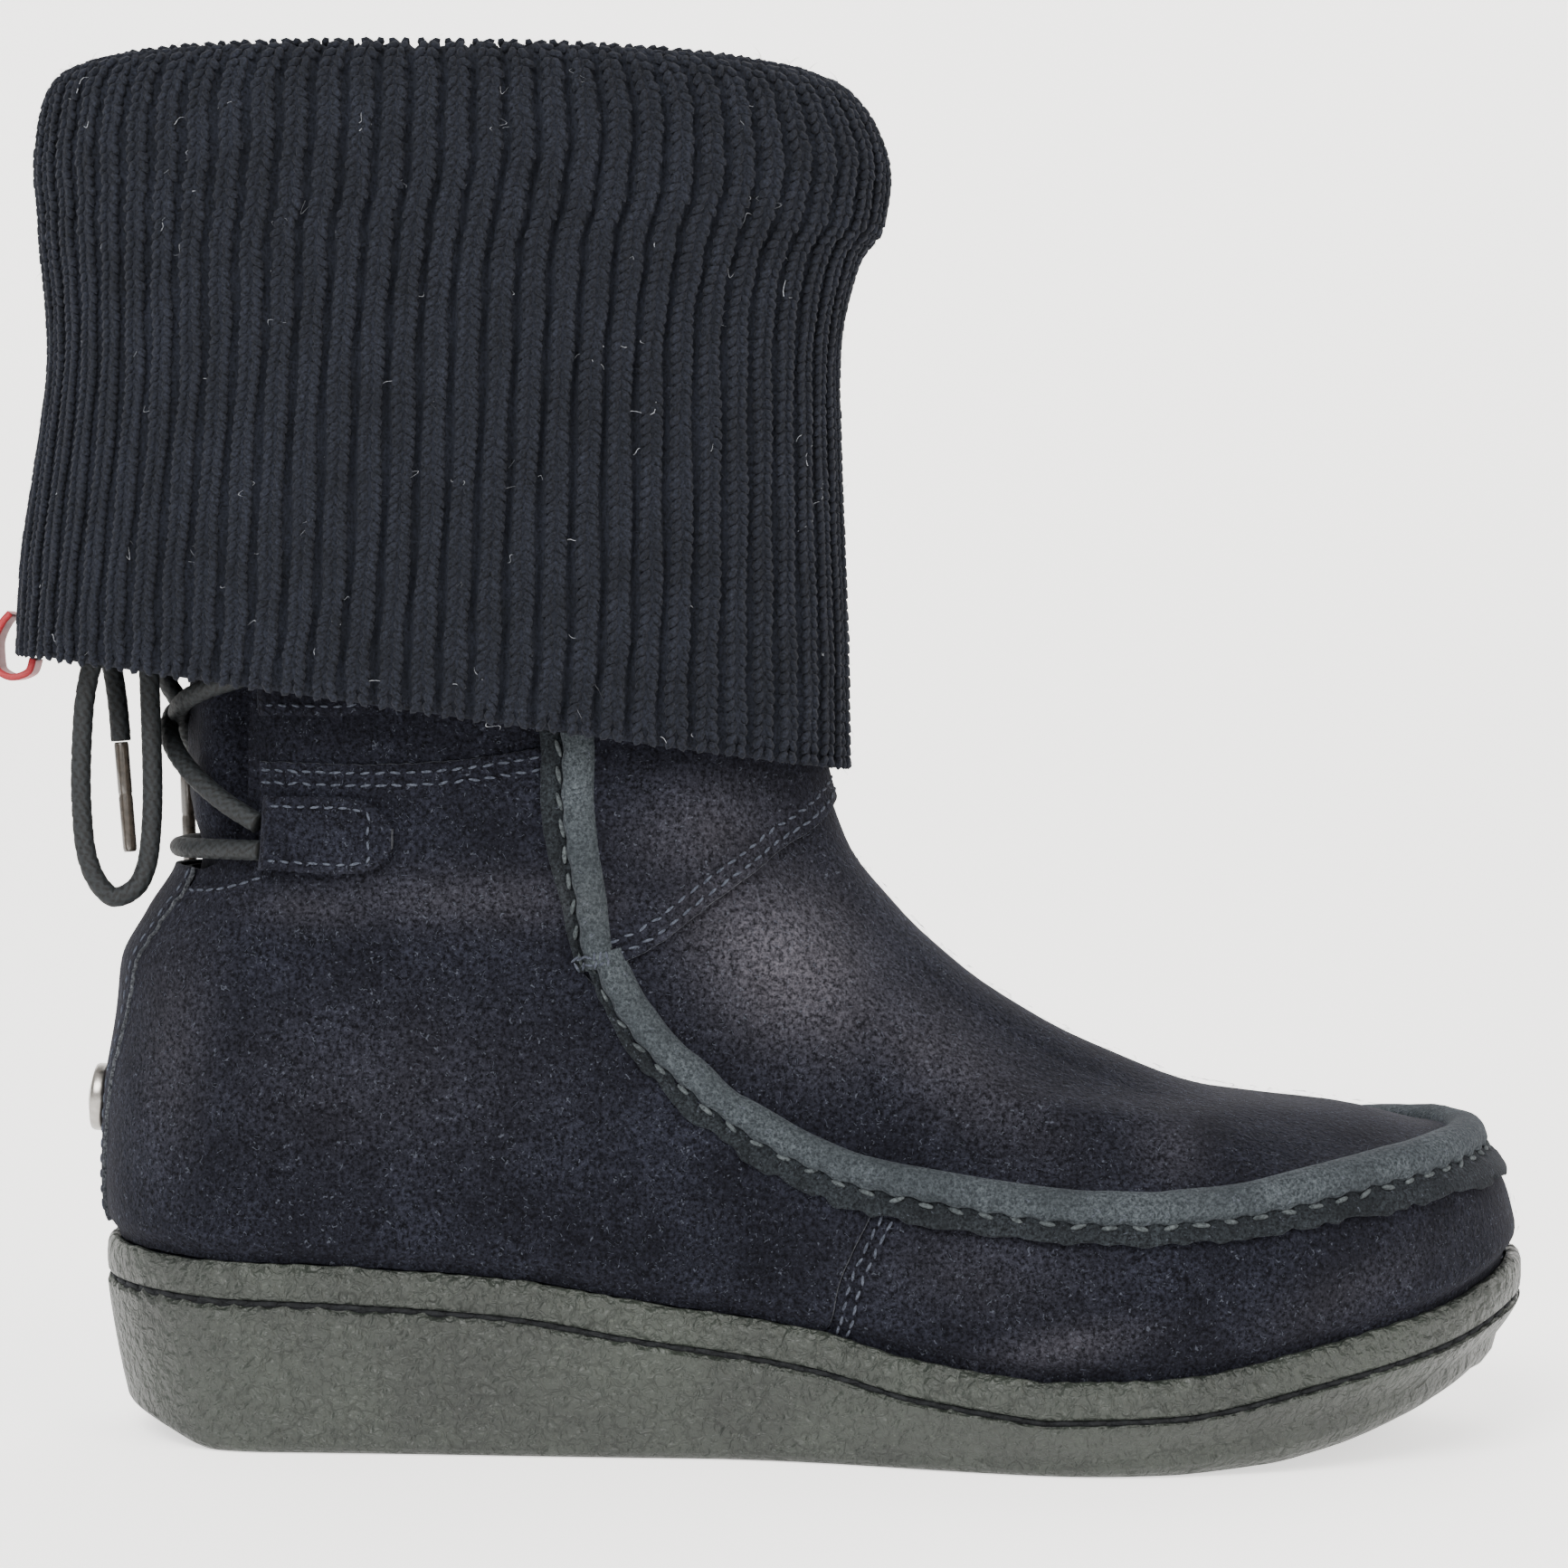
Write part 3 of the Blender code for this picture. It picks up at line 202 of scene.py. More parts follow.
# Brushed and scuffed patches, in millimetres: middle along and up, reach along and up, turn in
# degrees, and strength.
WORN = (
    (-5, 93, 17, 12, -35, 1.00),
    (22, 77, 24, 8, -35, 0.38),
    (66, 60, 6, 7, 70, 0.26),
    (-20, 117, 13, 9, 10, 0.36),
    (47, 25, 13, 3.5, 12, 0.42),
    (30, 38, 20, 8, 0, 0.16),
    (-62, 104, 26, 5, 0, 0.30),
    (-92, 102, 14, 4, 0, 0.22),
    (-120, 74, 8, 20, -8, 0.26),
    (-80, 70, 30, 14, 0, 0.12),
    (100, 34, 18, 5, 20, 0.18),
)


def knot_slopes(rises):
    """Slope of a smooth run at each of its knots, level where the run turns."""
    before, after = rises[:-1], rises[1:]
    turning = before * after <= 0
    total = np.where(turning, 1.0, before + after)
    mean = np.where(turning, 0.0, 2 * before * after / total)
    return np.concatenate([rises[:1], mean, rises[-1:]])


def between(start, end, leave, arrive, share):
    """Cubic from start to end that leaves and arrives at these slopes."""
    return (start + (end - start) * share * share * (3 - 2 * share)
            + leave * share * (1 - share) ** 2 + arrive * share * share * (share - 1))


def smooth(stations, values, at):
    """Cubic through a short table that never overshoots its values."""
    knots = np.asarray(stations, dtype=float)
    heights = np.asarray(values, dtype=float)
    at = np.clip(np.asarray(at, dtype=float), knots[0], knots[-1])
    column = (-1,) + (1,) * (heights.ndim - 1)
    lengths = np.diff(knots)
    slopes = knot_slopes(np.diff(heights, axis=0) / lengths.reshape(column))
    span = np.clip(np.searchsorted(knots, at, side="right") - 1, 0, len(knots) - 2)
    share = ((at - knots[span]) / lengths[span]).reshape(column)
    length = lengths[span].reshape(column)
    return between(heights[span], heights[span + 1], slopes[span] * length,
                   slopes[span + 1] * length, share)


def curve(table, at):
    stations, values = np.asarray(table, dtype=float).T
    return smooth(stations, values, at)


def centre_line(x):
    """Shift of the foot's centre line to the inner side."""
    return smooth(SOLE_STATIONS, np.array(SOLE_CENTRES) * BALL_WIDTH, x / SOLE_LENGTH + 0.5)


def rim_height(x):
    along = np.asarray(x) / SOLE_LENGTH
    heel = (HEEL_RIM_HEIGHT - BALL_RIM_HEIGHT) * curve(RIM_TO_HEEL, along)
    toe = (TOE_RIM_HEIGHT - BALL_RIM_HEIGHT) * curve(RIM_TO_TOE, along)
    return BALL_RIM_HEIGHT + heel + toe


def tread_height(x):
    return TOE_SPRING * curve(TREAD_RISE, np.asarray(x) / SOLE_LENGTH)


def height(share):
    """Real height of a share of the collar's height."""
    return np.interp(share, (0, INSTEP_SHARE, 1), (0, INSTEP_HEIGHT, COLLAR_HEIGHT))


def ends(along, heel_round, toe_round):
    """How far the rounded ends draw a section in, as a share of its half width."""
    heel = np.clip(1 - along / heel_round, 0, 1)
    toe = np.clip(1 - (1 - along) / toe_round, 0, 1)
    return np.sqrt((1 - heel ** 2) * (1 - toe ** 2))


def outline(angles, inset=0.0):
    """Points of the sole's outline seen from above, drawn in by the inset."""
    along = (1 + np.cos(angles)) / 2
    x = SOLE_LENGTH * (along - 0.5)
    half = smooth(SOLE_STATIONS, SOLE_WIDTHS, along) / 2 * ends(along, HEEL_ROUND, TOE_ROUND)
    base = np.stack([x, centre_line(x) - np.sign(np.sin(angles)) * half], axis=-1)
    if np.all(np.asarray(inset) == 0):
        return base
    step = 0.002
    run = outline(angles + step) - outline(angles - step)
    outward = np.stack([-run[:, 1], run[:, 0]], axis=-1)
    outward /= np.linalg.norm(outward, axis=1, keepdims=True)
    return base - np.broadcast_to(inset, angles.shape)[:, None] * outward


def sole_loop(angles, inset, level):
    """A loop drawn in from the sole's outline, with one level or one level a point."""
    flat = outline(angles, inset)
    return np.column_stack([flat, np.broadcast_to(level, len(flat))])


def over_rim(angles, inset, rise):
    return sole_loop(angles, inset, rim_height(outline(angles)[:, 0]) + rise)


def section(row, angles, back, front, widths):
    """One tilted section of the upper."""
    levels, shares, rounds = row[2:6], row[6:10], row[10:12]
    along = (1 + np.cos(angles)) / 2
    x = back + (front - back) * along
    half = smooth(WIDTH_STATIONS, np.array(shares) * np.array(widths) / 2, along)
    half = half * ends(along, *rounds)
    z = smooth(LEVEL_STATIONS, height(np.array(levels)), along)
    return np.column_stack([x, centre_line(x) - np.sign(np.sin(angles)) * half, z])


def upper_rows(angles):
    """All the upper's rows at these angles, from the cup's floor to the collar."""
    cup_inset = RIM_THICKNESS + 2 * GAP
    rows = [
        over_rim(angles, cup_inset, GAP - CUP_DEPTH),
        over_rim(angles, cup_inset, -RIM_BAND / 3),
        over_rim(angles, cup_inset * 0.85, RIM_BAND / 6),
        over_rim(angles, cup_inset * 0.25, RIM_BAND * 0.66),
    ]
    foot_widths = (HEEL_WIDTH, WAIST_WIDTH, BALL_WIDTH, TOE_WIDTH)
    for row in FOOT_ROWS:
        rows.append(section(row, angles, row[0] * SOLE_LENGTH, row[1] * SOLE_LENGTH, foot_widths))
    half_length = SHAFT_LENGTH / 2
    for row in SHAFT_ROWS:
        back = SHAFT_CENTRE + row[0] * half_length
        front = SHAFT_CENTRE + row[1] * half_length
        rows.append(section(row, angles, back, front, (SHAFT_WIDTH,) * 4))
    return np.stack(rows)


FULL_TURN = 4000
ALL_ANGLES = np.linspace(0, 2 * pi, FULL_TURN + 1)
UPPER_TABLE = upper_rows(ALL_ANGLES)
UPPER_SLOPES = knot_slopes(np.diff(UPPER_TABLE, axis=0))


def on_loops(table, slopes, angles, rows):
    """Points between a table's rows, on a surface whose rows run once round the boot."""
    turn = (angles / (2 * pi)) % 1.0 * FULL_TURN
    step = np.minimum(turn.astype(int), FULL_TURN - 1)
    part = (turn - step)[:, None]
    span = np.clip(rows.astype(int), 0, len(table) - 2)

    def at(values, row):
        return values[row, step] * (1 - part) + values[row, step + 1] * part

    return between(at(table, span), at(table, span + 1), at(slopes, span), at(slopes, span + 1),
                   (rows - span)[:, None])


def bare_skin(angles, rows):
    """Points of the upper's outer face at pairs of angle and row."""
    return on_loops(UPPER_TABLE, UPPER_SLOPES, angles, np.clip(rows, 0, TOP_ROW))


def slopes_at(angles, rows):
    """How the outer face runs round the foot and up it."""
    step = 0.01
    low = np.clip(rows - step, 0, TOP_ROW)
    high = np.clip(rows + step, 0, TOP_ROW)
    round_foot = (bare_skin(angles + step, rows) - bare_skin(angles - step, rows)) / (2 * step)
    up_foot = (bare_skin(angles, high) - bare_skin(angles, low)) / (high - low)[:, None]
    return round_foot, up_foot


def unit(vectors):
    return vectors / np.linalg.norm(vectors, axis=-1, keepdims=True)


def outward_at(angles, rows):
    round_foot, up_foot = slopes_at(angles, rows)
    return unit(np.cross(up_foot, round_foot))


def rolls(points):
    """Lift of the creases at points of the upper."""
    along, up = points[:, 0] / MM, points[:, 2] / MM
    lift = np.zeros(len(points))
    for x0, z0, x1, z1, half_width, rise in CREASES:
        run = np.array((x1 - x0, z1 - z0), dtype=float)
        length = np.linalg.norm(run)
        run /= length
        share = ((along - x0) * run[0] + (up - z0) * run[1]) / length
        off = (along - x0) * -run[1] + (up - z0) * run[0]
        off = off + 0.12 * half_width * np.sin(share * 5 + x0)
        fade = np.exp(-((np.clip(share, 0, 1) - share) * length / half_width) ** 2)
        taper = 0.35 + 0.65 * np.sin(np.clip(share, 0, 1) * pi)
        lift += rise * MM * np.exp(-(off / half_width) ** 2) * fade * taper
    soft = np.sin(along * 0.21 + 1.3) * np.sin(up * 0.27 + 0.4 * np.sin(along * 0.11))
    return lift + 0.12 * MM * soft


def skin(angles, rows, lift=0.0, creased=True):
    """Points at a lift over the upper's outer face; a lift under zero is inside it."""
    angles, rows, lift = np.broadcast_arrays(angles, rows, lift)
    shape = angles.shape
    angles, rows, lift = (np.ravel(part).astype(float) for part in (angles, rows, lift))
    points = bare_skin(angles, rows)
    if creased:
        lift = lift + rolls(points) * np.clip((rows - 2.2) / 1.5, 0, 1)
    points = points + lift[:, None] * outward_at(angles, rows)
    near_toe = np.exp(-((1 - np.cos(angles)) / 0.35) ** 2)
    near_ring = np.exp(-((rows - RING_ROW) / np.where(rows > RING_ROW, 1.3, 0.6)) ** 2)
    low_toe = np.clip((RING_ROW - 0.6 - rows) / 1.2, 0, 1)
    near_heel = np.exp(-((1 + np.cos(angles)) / 0.25) ** 2)
    low_heel = np.exp(-(np.clip(points[:, 2] - HEEL_MIDDLE, 0, 1) / HEEL_REACH) ** 2)
    points[:, 0] += HEEL_DRAWN_IN * near_heel * low_heel
    points[:, 0] += near_toe * (TOE_PUSHED_OUT * low_toe - TOE_DRAWN_IN * near_ring)
    points[:, 2] += TOE_RAISED * near_toe * near_ring
    return points.reshape(*shape, 3)


def place(x, z):
    """Angle and row of a place on the outer side, from millimetres along and up."""
    target = np.array((x, z)) * MM
    angles, rows = (a.ravel() for a in np.meshgrid(np.linspace(0.12, pi - 0.12, 60),
                                                   np.linspace(2, TOP_ROW, 60)))
    near = bare_skin(angles, rows)[:, (0, 2)]
    best = np.argmin(((near - target) ** 2).sum(axis=1))
    angle, row = angles[best:best + 1], rows[best:best + 1]
    for _ in range(6):
        round_foot, up_foot = slopes_at(angle, row)
        miss = target - bare_skin(angle, row)[0, (0, 2)]
        matrix = np.stack([round_foot[0, (0, 2)], up_foot[0, (0, 2)]], axis=1)
        turn = np.linalg.lstsq(matrix, miss, rcond=None)[0]
        angle = np.clip(angle + np.clip(turn[0], -0.1, 0.1), 0.03, pi - 0.03)
        row = np.clip(row + np.clip(turn[1], -0.5, 0.5), 0, TOP_ROW)
    return float(angle[0]), float(row[0])


def line(points):
    """Places of a run of points on the outer side."""
    return np.array([place(*point) for point in points])


def row_at(angle, z):
    """Row at an angle whose height is z, in metres."""
    rows = np.linspace(RING_ROW, TOP_ROW, 300)
    return np.interp(z, bare_skin(np.full(300, float(angle)), rows)[:, 2], rows)


def share_place(along, up):
    return place(along * SOLE_LENGTH / MM, height(up) / MM)


def resample(places, count):
    """The same run of places at an even step over the skin."""
    places = np.asarray(places, dtype=float)
    fine = smooth(np.arange(len(places)), places, np.linspace(0, len(places) - 1, 400))
    steps = np.linalg.norm(np.diff(bare_skin(fine[:, 0], fine[:, 1]), axis=0), axis=1)
    travelled = np.concatenate([[0], np.cumsum(steps)])
    at = np.linspace(0, travelled[-1], count)
    return np.column_stack([np.interp(at, travelled, fine[:, k]) for k in range(2)])


def run_length(places):
    return np.linalg.norm(np.diff(bare_skin(*places.T), axis=0), axis=1).sum()


def beside(places, across):
    """Places moved over the skin at right angles to their run, in metres."""
    angles, rows = np.asarray(places, dtype=float).T
    round_foot, up_foot = slopes_at(angles, rows)
    run = np.gradient(bare_skin(angles, rows), axis=0)
    aside = unit(np.cross(run, outward_at(angles, rows)))
    aside = aside * np.broadcast_to(across, len(angles))[:, None]
    rr = (round_foot ** 2).sum(axis=1)
    uu = (up_foot ** 2).sum(axis=1)
    ru = (round_foot * up_foot).sum(axis=1)
    rd = (round_foot * aside).sum(axis=1)
    ud = (up_foot * aside).sum(axis=1)
    whole = rr * uu - ru * ru
    moved = np.column_stack([angles + (rd * uu - ud * ru) / whole,
                             rows + (ud * rr - rd * ru) / whole])
    moved[:, 1] = np.clip(moved[:, 1], 0, TOP_ROW)
    return moved


def mirrored(places):
    """The same places on the inner side."""
    return np.asarray(places) * (-1, 1)


def wobble(at, wave, seed):
    """Smooth unevenness between -1 and 1 along a run."""
    at = np.asarray(at, dtype=float) / wave
    knots = np.random.default_rng(seed).uniform(-1, 1, 4096)
    low = np.floor(at).astype(int)
    share = at - low
    share = share * share * (3 - 2 * share)
    return knots[low % 4096] * (1 - share) + knots[(low + 1) % 4096] * share


# Camera at the photograph's angle: 0.8 m off, 150 mm up, tilted a little down and to the side
PHOTO_PIXELS = 1733
FOCAL_PIXELS = 4595
SENSOR = 36
camera_data = bpy.data.cameras.new("camera")
camera_data.sensor_width = SENSOR
camera_data.lens = FOCAL_PIXELS / PHOTO_PIXELS * SENSOR
camera = bpy.data.objects.new("camera", camera_data)
camera.matrix_world = (Matrix.Translation((-0.0057, -0.800, 0.150))
                       @ Matrix.Rotation(radians(90 - 1.8), 4, "X")
                       @ Matrix.Rotation(radians(0.6), 4, "Z"))
bpy.context.scene.collection.objects.link(camera)
bpy.context.scene.camera = camera


def colour(code):
    """Linear colour from an sRGB hex value."""
    parts = [int(code[i:i + 2], 16) / 255 for i in (1, 3, 5)]
    linear = [p / 12.92 if p <= 0.04045 else ((p + 0.055) / 1.055) ** 2.4 for p in parts]
    return (*linear, 1)


def node(tree, kind, inputs=None, **settings):
    """Add a node, set its settings, and set or link its inputs."""
    made = tree.nodes.new("ShaderNode" + kind)
    for name, value in settings.items():
        setattr(made, name, value)
    for name, value in (inputs or {}).items():
        if isinstance(value, bpy.types.NodeSocket):
            tree.links.new(value, made.inputs[name])
        else:
            made.inputs[name].default_value = value
    return made


# Input and output numbers of a colour Mix node
MIX_FACTOR, MIX_A, MIX_B, MIX_OUT = 0, 6, 7, 2


def blank(name, roughness, metallic=0.0, ior=1.5):
    """A new material with its shader's plain numbers set."""
    made = bpy.data.materials.new(name)
    made.use_nodes = True
    shader = made.node_tree.nodes["Principled BSDF"]
    shader.inputs["Roughness"].default_value = roughness
    shader.inputs["Metallic"].default_value = metallic
    shader.inputs["IOR"].default_value = ior
    return made, made.node_tree, shader


def suede(name, dark, light, brushed, nap_mm=0.7):
    """Split cow suede, brushed: matt, with a fine two-tone nap that lies in clumps, cloudy
    shading where a hand has stroked it, and greyer short nap where it is worn."""
    made, tree, shader = blank(name, 0.95)
    at = node(tree, "TexCoord").outputs["Object"]
    nap = node(tree, "TexNoise", {"Vector": at, "Scale": 1 / (nap_mm * MM), "Detail": 3.0,
                                  "Roughness": 0.75})
    clump = node(tree, "TexNoise", {"Vector": at, "Scale": 1 / (1.4 * MM), "Detail": 3.0,
                                    "Distortion": 0.8})
    cloud = node(tree, "TexNoise", {"Vector": at, "Scale": 1 / (17 * MM), "Detail": 4.0, "Roughness": 0.6})
    fleck = node(tree, "TexNoise", {"Vector": at, "Scale": 1 / (0.9 * MM), "Detail": 1.0,
                                    "Distortion": 1.5})
    tone = node(tree, "MapRange", {"Value": nap.outputs["Fac"], "From Min": 0.38, "From Max": 0.66})
    tuft = node(tree, "MapRange", {"Value": clump.outputs["Fac"], "From Min": 0.34, "From Max": 0.66,
                                   "To Min": 0.60})
    shade = node(tree, "MapRange", {"Value": cloud.outputs["Fac"], "From Min": 0.36, "From Max": 0.68,
                                    "To Min": 0.42})
    mixed = node(tree, "Math", {0: tone.outputs[0], 1: tuft.outputs[0]}, operation="MULTIPLY")
    soft = node(tree, "Math", {0: mixed.outputs[0], 1: shade.outputs[0]}, operation="MULTIPLY")
    base = node(tree, "Mix", {MIX_FACTOR: soft.outputs[0], MIX_A: colour(dark), MIX_B: colour(light)},
                data_type="RGBA")
    worn = node(tree, "Attribute", attribute_name="worn")
    lit = node(tree, "Math", {0: mixed.outputs[0], 1: 0.85, 2: 0.08}, operation="MULTIPLY_ADD")
    rubbed = node(tree, "Math", {0: worn.outputs["Fac"], 1: lit.outputs[0]}, operation="MULTIPLY",
                  use_clamp=True)
    shown = node(tree, "Mix", {MIX_FACTOR: rubbed.outputs[0], MIX_A: base.outputs[MIX_OUT],
                               MIX_B: colour(brushed)}, data_type="RGBA")
    bright = node(tree, "MapRange", {"Value": fleck.outputs["Fac"], "From Min": 0.67, "From Max": 0.74,
                                     "To Max": 0.40})
    final = node(tree, "Mix", {MIX_FACTOR: bright.outputs[0], MIX_A: shown.outputs[MIX_OUT],
                               MIX_B: colour("#4c505a")}, data_type="RGBA")
    tree.links.new(final.outputs[MIX_OUT], shader.inputs["Base Color"])
    raised = node(tree, "Math", {0: clump.outputs["Fac"], 1: 2.0, 2: nap.outputs["Fac"]},
                  operation="MULTIPLY_ADD")
    bump = node(tree, "Bump", {"Height": raised.outputs[0], "Strength": 0.7, "Distance": 0.28 * MM})
    tree.links.new(bump.outputs["Normal"], shader.inputs["Normal"])
    shader.inputs["Sheen Weight"].default_value = 0.07
    shader.inputs["Sheen Roughness"].default_value = 0.5
    shader.inputs["Sheen Tint"].default_value = colour("#8f90a0")
    shader.inputs["Specular IOR Level"].default_value = 0.08
    return made


def crepe_rubber(name):
    """Moulded crepe-look rubber: grey-green, with soft crumpled pebbles 1 to 3 mm wide that
    catch small highlights, and chalky scuffs on the high spots."""
    made, tree, shader = blank(name, 0.5, ior=1.52)
    at = node(tree, "TexCoord").outputs["Object"]
    bend = node(tree, "TexNoise", {"Vector": at, "Scale": 1 / (3.0 * MM), "Detail": 3.0})
    pushed = node(tree, "VectorMath", {0: bend.outputs["Color"], "Scale": 2.2 * MM}, operation="SCALE")
    bent = node(tree, "VectorMath", {0: at, 1: pushed.outputs[0]}, operation="ADD")
    pebble = node(tree, "TexVoronoi", {"Vector": bent.outputs[0], "Scale": 1 / (2.4 * MM)},
                  feature="SMOOTH_F1")
    crumple = node(tree, "TexNoise", {"Vector": at, "Scale": 1 / (1.9 * MM), "Detail": 2.5,
                                      "Distortion": 1.1})
    cloud = node(tree, "TexNoise", {"Vector": at, "Scale": 1 / (22 * MM), "Detail": 5.0, "Roughness": 0.65})
    tone = node(tree, "MapRange", {"Value": cloud.outputs["Fac"], "From Min": 0.32, "From Max": 0.70})
    base = node(tree, "Mix", {MIX_FACTOR: tone.outputs[0], MIX_A: colour("#1b1f1c"),
                              MIX_B: colour("#292e29")}, data_type="RGBA")
    relief = node(tree, "Math", {0: crumple.outputs["Fac"], 1: 1.2, 2: pebble.outputs["Distance"]},
                  operation="MULTIPLY_ADD")
    scuff = node(tree, "TexNoise", {"Vector": at, "Scale": 1 / (1.3 * MM), "Detail": 4.0, "Roughness": 0.8})
    chalk = node(tree, "MapRange", {"Value": scuff.outputs["Fac"], "From Min": 0.60, "From Max": 0.70,
                                    "To Max": 0.5})
    shown = node(tree, "Mix", {MIX_FACTOR: chalk.outputs[0], MIX_A: base.outputs[MIX_OUT],
                               MIX_B: colour("#454a43")}, data_type="RGBA")
    tree.links.new(shown.outputs[MIX_OUT], shader.inputs["Base Color"])
    bump = node(tree, "Bump", {"Height": relief.outputs[0], "Strength": 1.0, "Distance": 1.4 * MM})
    tree.links.new(bump.outputs["Normal"], shader.inputs["Normal"])
    rough = node(tree, "MapRange", {"Value": scuff.outputs["Fac"], "To Min": 0.34, "To Max": 0.62})
    tree.links.new(rough.outputs[0], shader.inputs["Roughness"])
    shader.inputs["Specular IOR Level"].default_value = 0.35
    return made


def yarn(name, dark, light, strand_mm=0.22):
    """Spun yarn: matt, with fine two-tone fibres and a soft halo from its loose ends."""
    made, tree, shader = blank(name, 0.95)
    at = node(tree, "TexCoord").outputs["Object"]
    fibre = node(tree, "TexNoise", {"Vector": at, "Scale": 1 / (strand_mm * 2.2 * MM), "Detail": 3.0,
                                    "Roughness": 0.75})
    cloud = node(tree, "TexNoise", {"Vector": at, "Scale": 1 / (9 * MM), "Detail": 3.0})
    tone = node(tree, "MapRange", {"Value": fibre.outputs["Fac"], "From Min": 0.34, "From Max": 0.74})
    shade = node(tree, "MapRange", {"Value": cloud.outputs["Fac"], "From Min": 0.3, "From Max": 0.7,
                                    "To Min": 0.6, "To Max": 1.0})
    mixed = node(tree, "Math", {0: tone.outputs[0], 1: shade.outputs[0]}, operation="MULTIPLY")
    base = node(tree, "Mix", {MIX_FACTOR: mixed.outputs[0], MIX_A: colour(dark), MIX_B: colour(light)},
                data_type="RGBA")
    tree.links.new(base.outputs[MIX_OUT], shader.inputs["Base Color"])
    bump = node(tree, "Bump", {"Height": fibre.outputs["Fac"], "Strength": 0.6, "Distance": 0.2 * MM})
    tree.links.new(bump.outputs["Normal"], shader.inputs["Normal"])
    shader.inputs["Sheen Weight"].default_value = 0.10
    shader.inputs["Sheen Roughness"].default_value = 0.6
    shader.inputs["Sheen Tint"].default_value = colour("#83858f")
    shader.inputs["Specular IOR Level"].default_value = 0.12
    return made


def braid(name, valley, crown_highlight):
    """Round braided cotton lace, waxed: near-black, with painted shade between the strands and a painted
    highlight on their crowns, taken from the strands' relief.
    """
    made, tree, shader = blank(name, 0.7)
    at = node(tree, "TexCoord").outputs["Object"]
    fibre = node(tree, "TexNoise", {"Vector": at, "Scale": 1 / (0.5 * MM), "Detail": 3.0})
    # Painted light: the strands' relief mixes the crowns towards a painted highlight colour and leaves the
    # hollows in painted shade.
    painted_crown_light = node(tree, "Attribute", attribute_name="painted_crown_light")
    height = node(tree, "MapRange", {"Value": painted_crown_light.outputs["Fac"], "From Min": 0.35, "From Max": 1.0})
    mixed = node(tree, "Math", {0: height.outputs[0], 1: fibre.outputs["Fac"]}, operation="MULTIPLY")
    base = node(tree, "Mix", {MIX_FACTOR: mixed.outputs[0], MIX_A: colour(valley), MIX_B: colour(crown_highlight)},
                data_type="RGBA")
    tree.links.new(base.outputs[MIX_OUT], shader.inputs["Base Color"])
    bump = node(tree, "Bump", {"Height": fibre.outputs["Fac"], "Strength": 0.5, "Distance": 0.2 * MM})
    tree.links.new(bump.outputs["Normal"], shader.inputs["Normal"])
    shader.inputs["Specular IOR Level"].default_value = 0.3
    return made


def nickel(name):
    """Nickel-plated brass, polished and then rubbed dull by wear."""
    made, tree, shader = blank(name, 0.28, 1.0)
    at = node(tree, "TexCoord").outputs["Object"]
    smear = node(tree, "TexNoise", {"Vector": at, "Scale": 1 / (1.6 * MM), "Detail": 4.0})
    base = node(tree, "Mix", {MIX_FACTOR: smear.outputs["Fac"], MIX_A: colour("#6f6c68"),
                              MIX_B: colour("#a9a6a1")}, data_type="RGBA")
    tree.links.new(base.outputs[MIX_OUT], shader.inputs["Base Color"])
    rough = node(tree, "MapRange", {"Value": smear.outputs["Fac"], "To Min": 0.2, "To Max": 0.42})
    tree.links.new(rough.outputs[0], shader.inputs["Roughness"])
    return made


def acetate(name):
    """Clear smoky acetate film, wound tight on the lace's end and shrunk on with heat."""
    made, tree, shader = blank(name, 0.22, ior=1.48)
    at = node(tree, "TexCoord").outputs["Object"]
    streak = node(tree, "TexNoise", {"Vector": at, "Scale": 1 / (1.1 * MM), "Detail": 3.0})
    base = node(tree, "Mix", {MIX_FACTOR: streak.outputs["Fac"], MIX_A: colour("#14110e"),
                              MIX_B: colour("#4c453e")}, data_type="RGBA")
    tree.links.new(base.outputs[MIX_OUT], shader.inputs["Base Color"])
    shader.inputs["Coat Weight"].default_value = 0.6
    shader.inputs["Coat Roughness"].default_value = 0.08
    return made


def grosgrain(name):
    """Red polyester grosgrain tape: fine cross ribs and a slight shine."""
    made, tree, shader = blank(name, 0.6)
    at = node(tree, "TexCoord").outputs["Object"]
    rib = node(tree, "TexWave", {"Vector": at, "Scale": 1 / (1.1 * MM) / 6.28, "Distortion": 0.4},
               bands_direction="Z")
    fibre = node(tree, "TexNoise", {"Vector": at, "Scale": 1 / (0.4 * MM), "Detail": 3.0})
    base = node(tree, "Mix", {MIX_FACTOR: fibre.outputs["Fac"], MIX_A: colour("#5c0009"),
                              MIX_B: colour("#a3061a")}, data_type="RGBA")
    tree.links.new(base.outputs[MIX_OUT], shader.inputs["Base Color"])
    bump = node(tree, "Bump", {"Height": rib.outputs["Fac"], "Strength": 0.5, "Distance": 0.2 * MM})
    tree.links.new(bump.outputs["Normal"], shader.inputs["Normal"])
    shader.inputs["Sheen Weight"].default_value = 0.1
    return made


def fleece(name):
    """Brushed textile lining: dark, matt and close-napped."""
    made, tree, shader = blank(name, 0.97)
    at = node(tree, "TexCoord").outputs["Object"]
    pile = node(tree, "TexNoise", {"Vector": at, "Scale": 1 / (1.0 * MM), "Detail": 4.0})
    base = node(tree, "Mix", {MIX_FACTOR: pile.outputs["Fac"], MIX_A: colour("#101216"),
                              MIX_B: colour("#2a2d33")}, data_type="RGBA")
    tree.links.new(base.outputs[MIX_OUT], shader.inputs["Base Color"])
    bump = node(tree, "Bump", {"Height": pile.outputs["Fac"], "Strength": 0.6, "Distance": 0.4 * MM})
    tree.links.new(bump.outputs["Normal"], shader.inputs["Normal"])
    return made


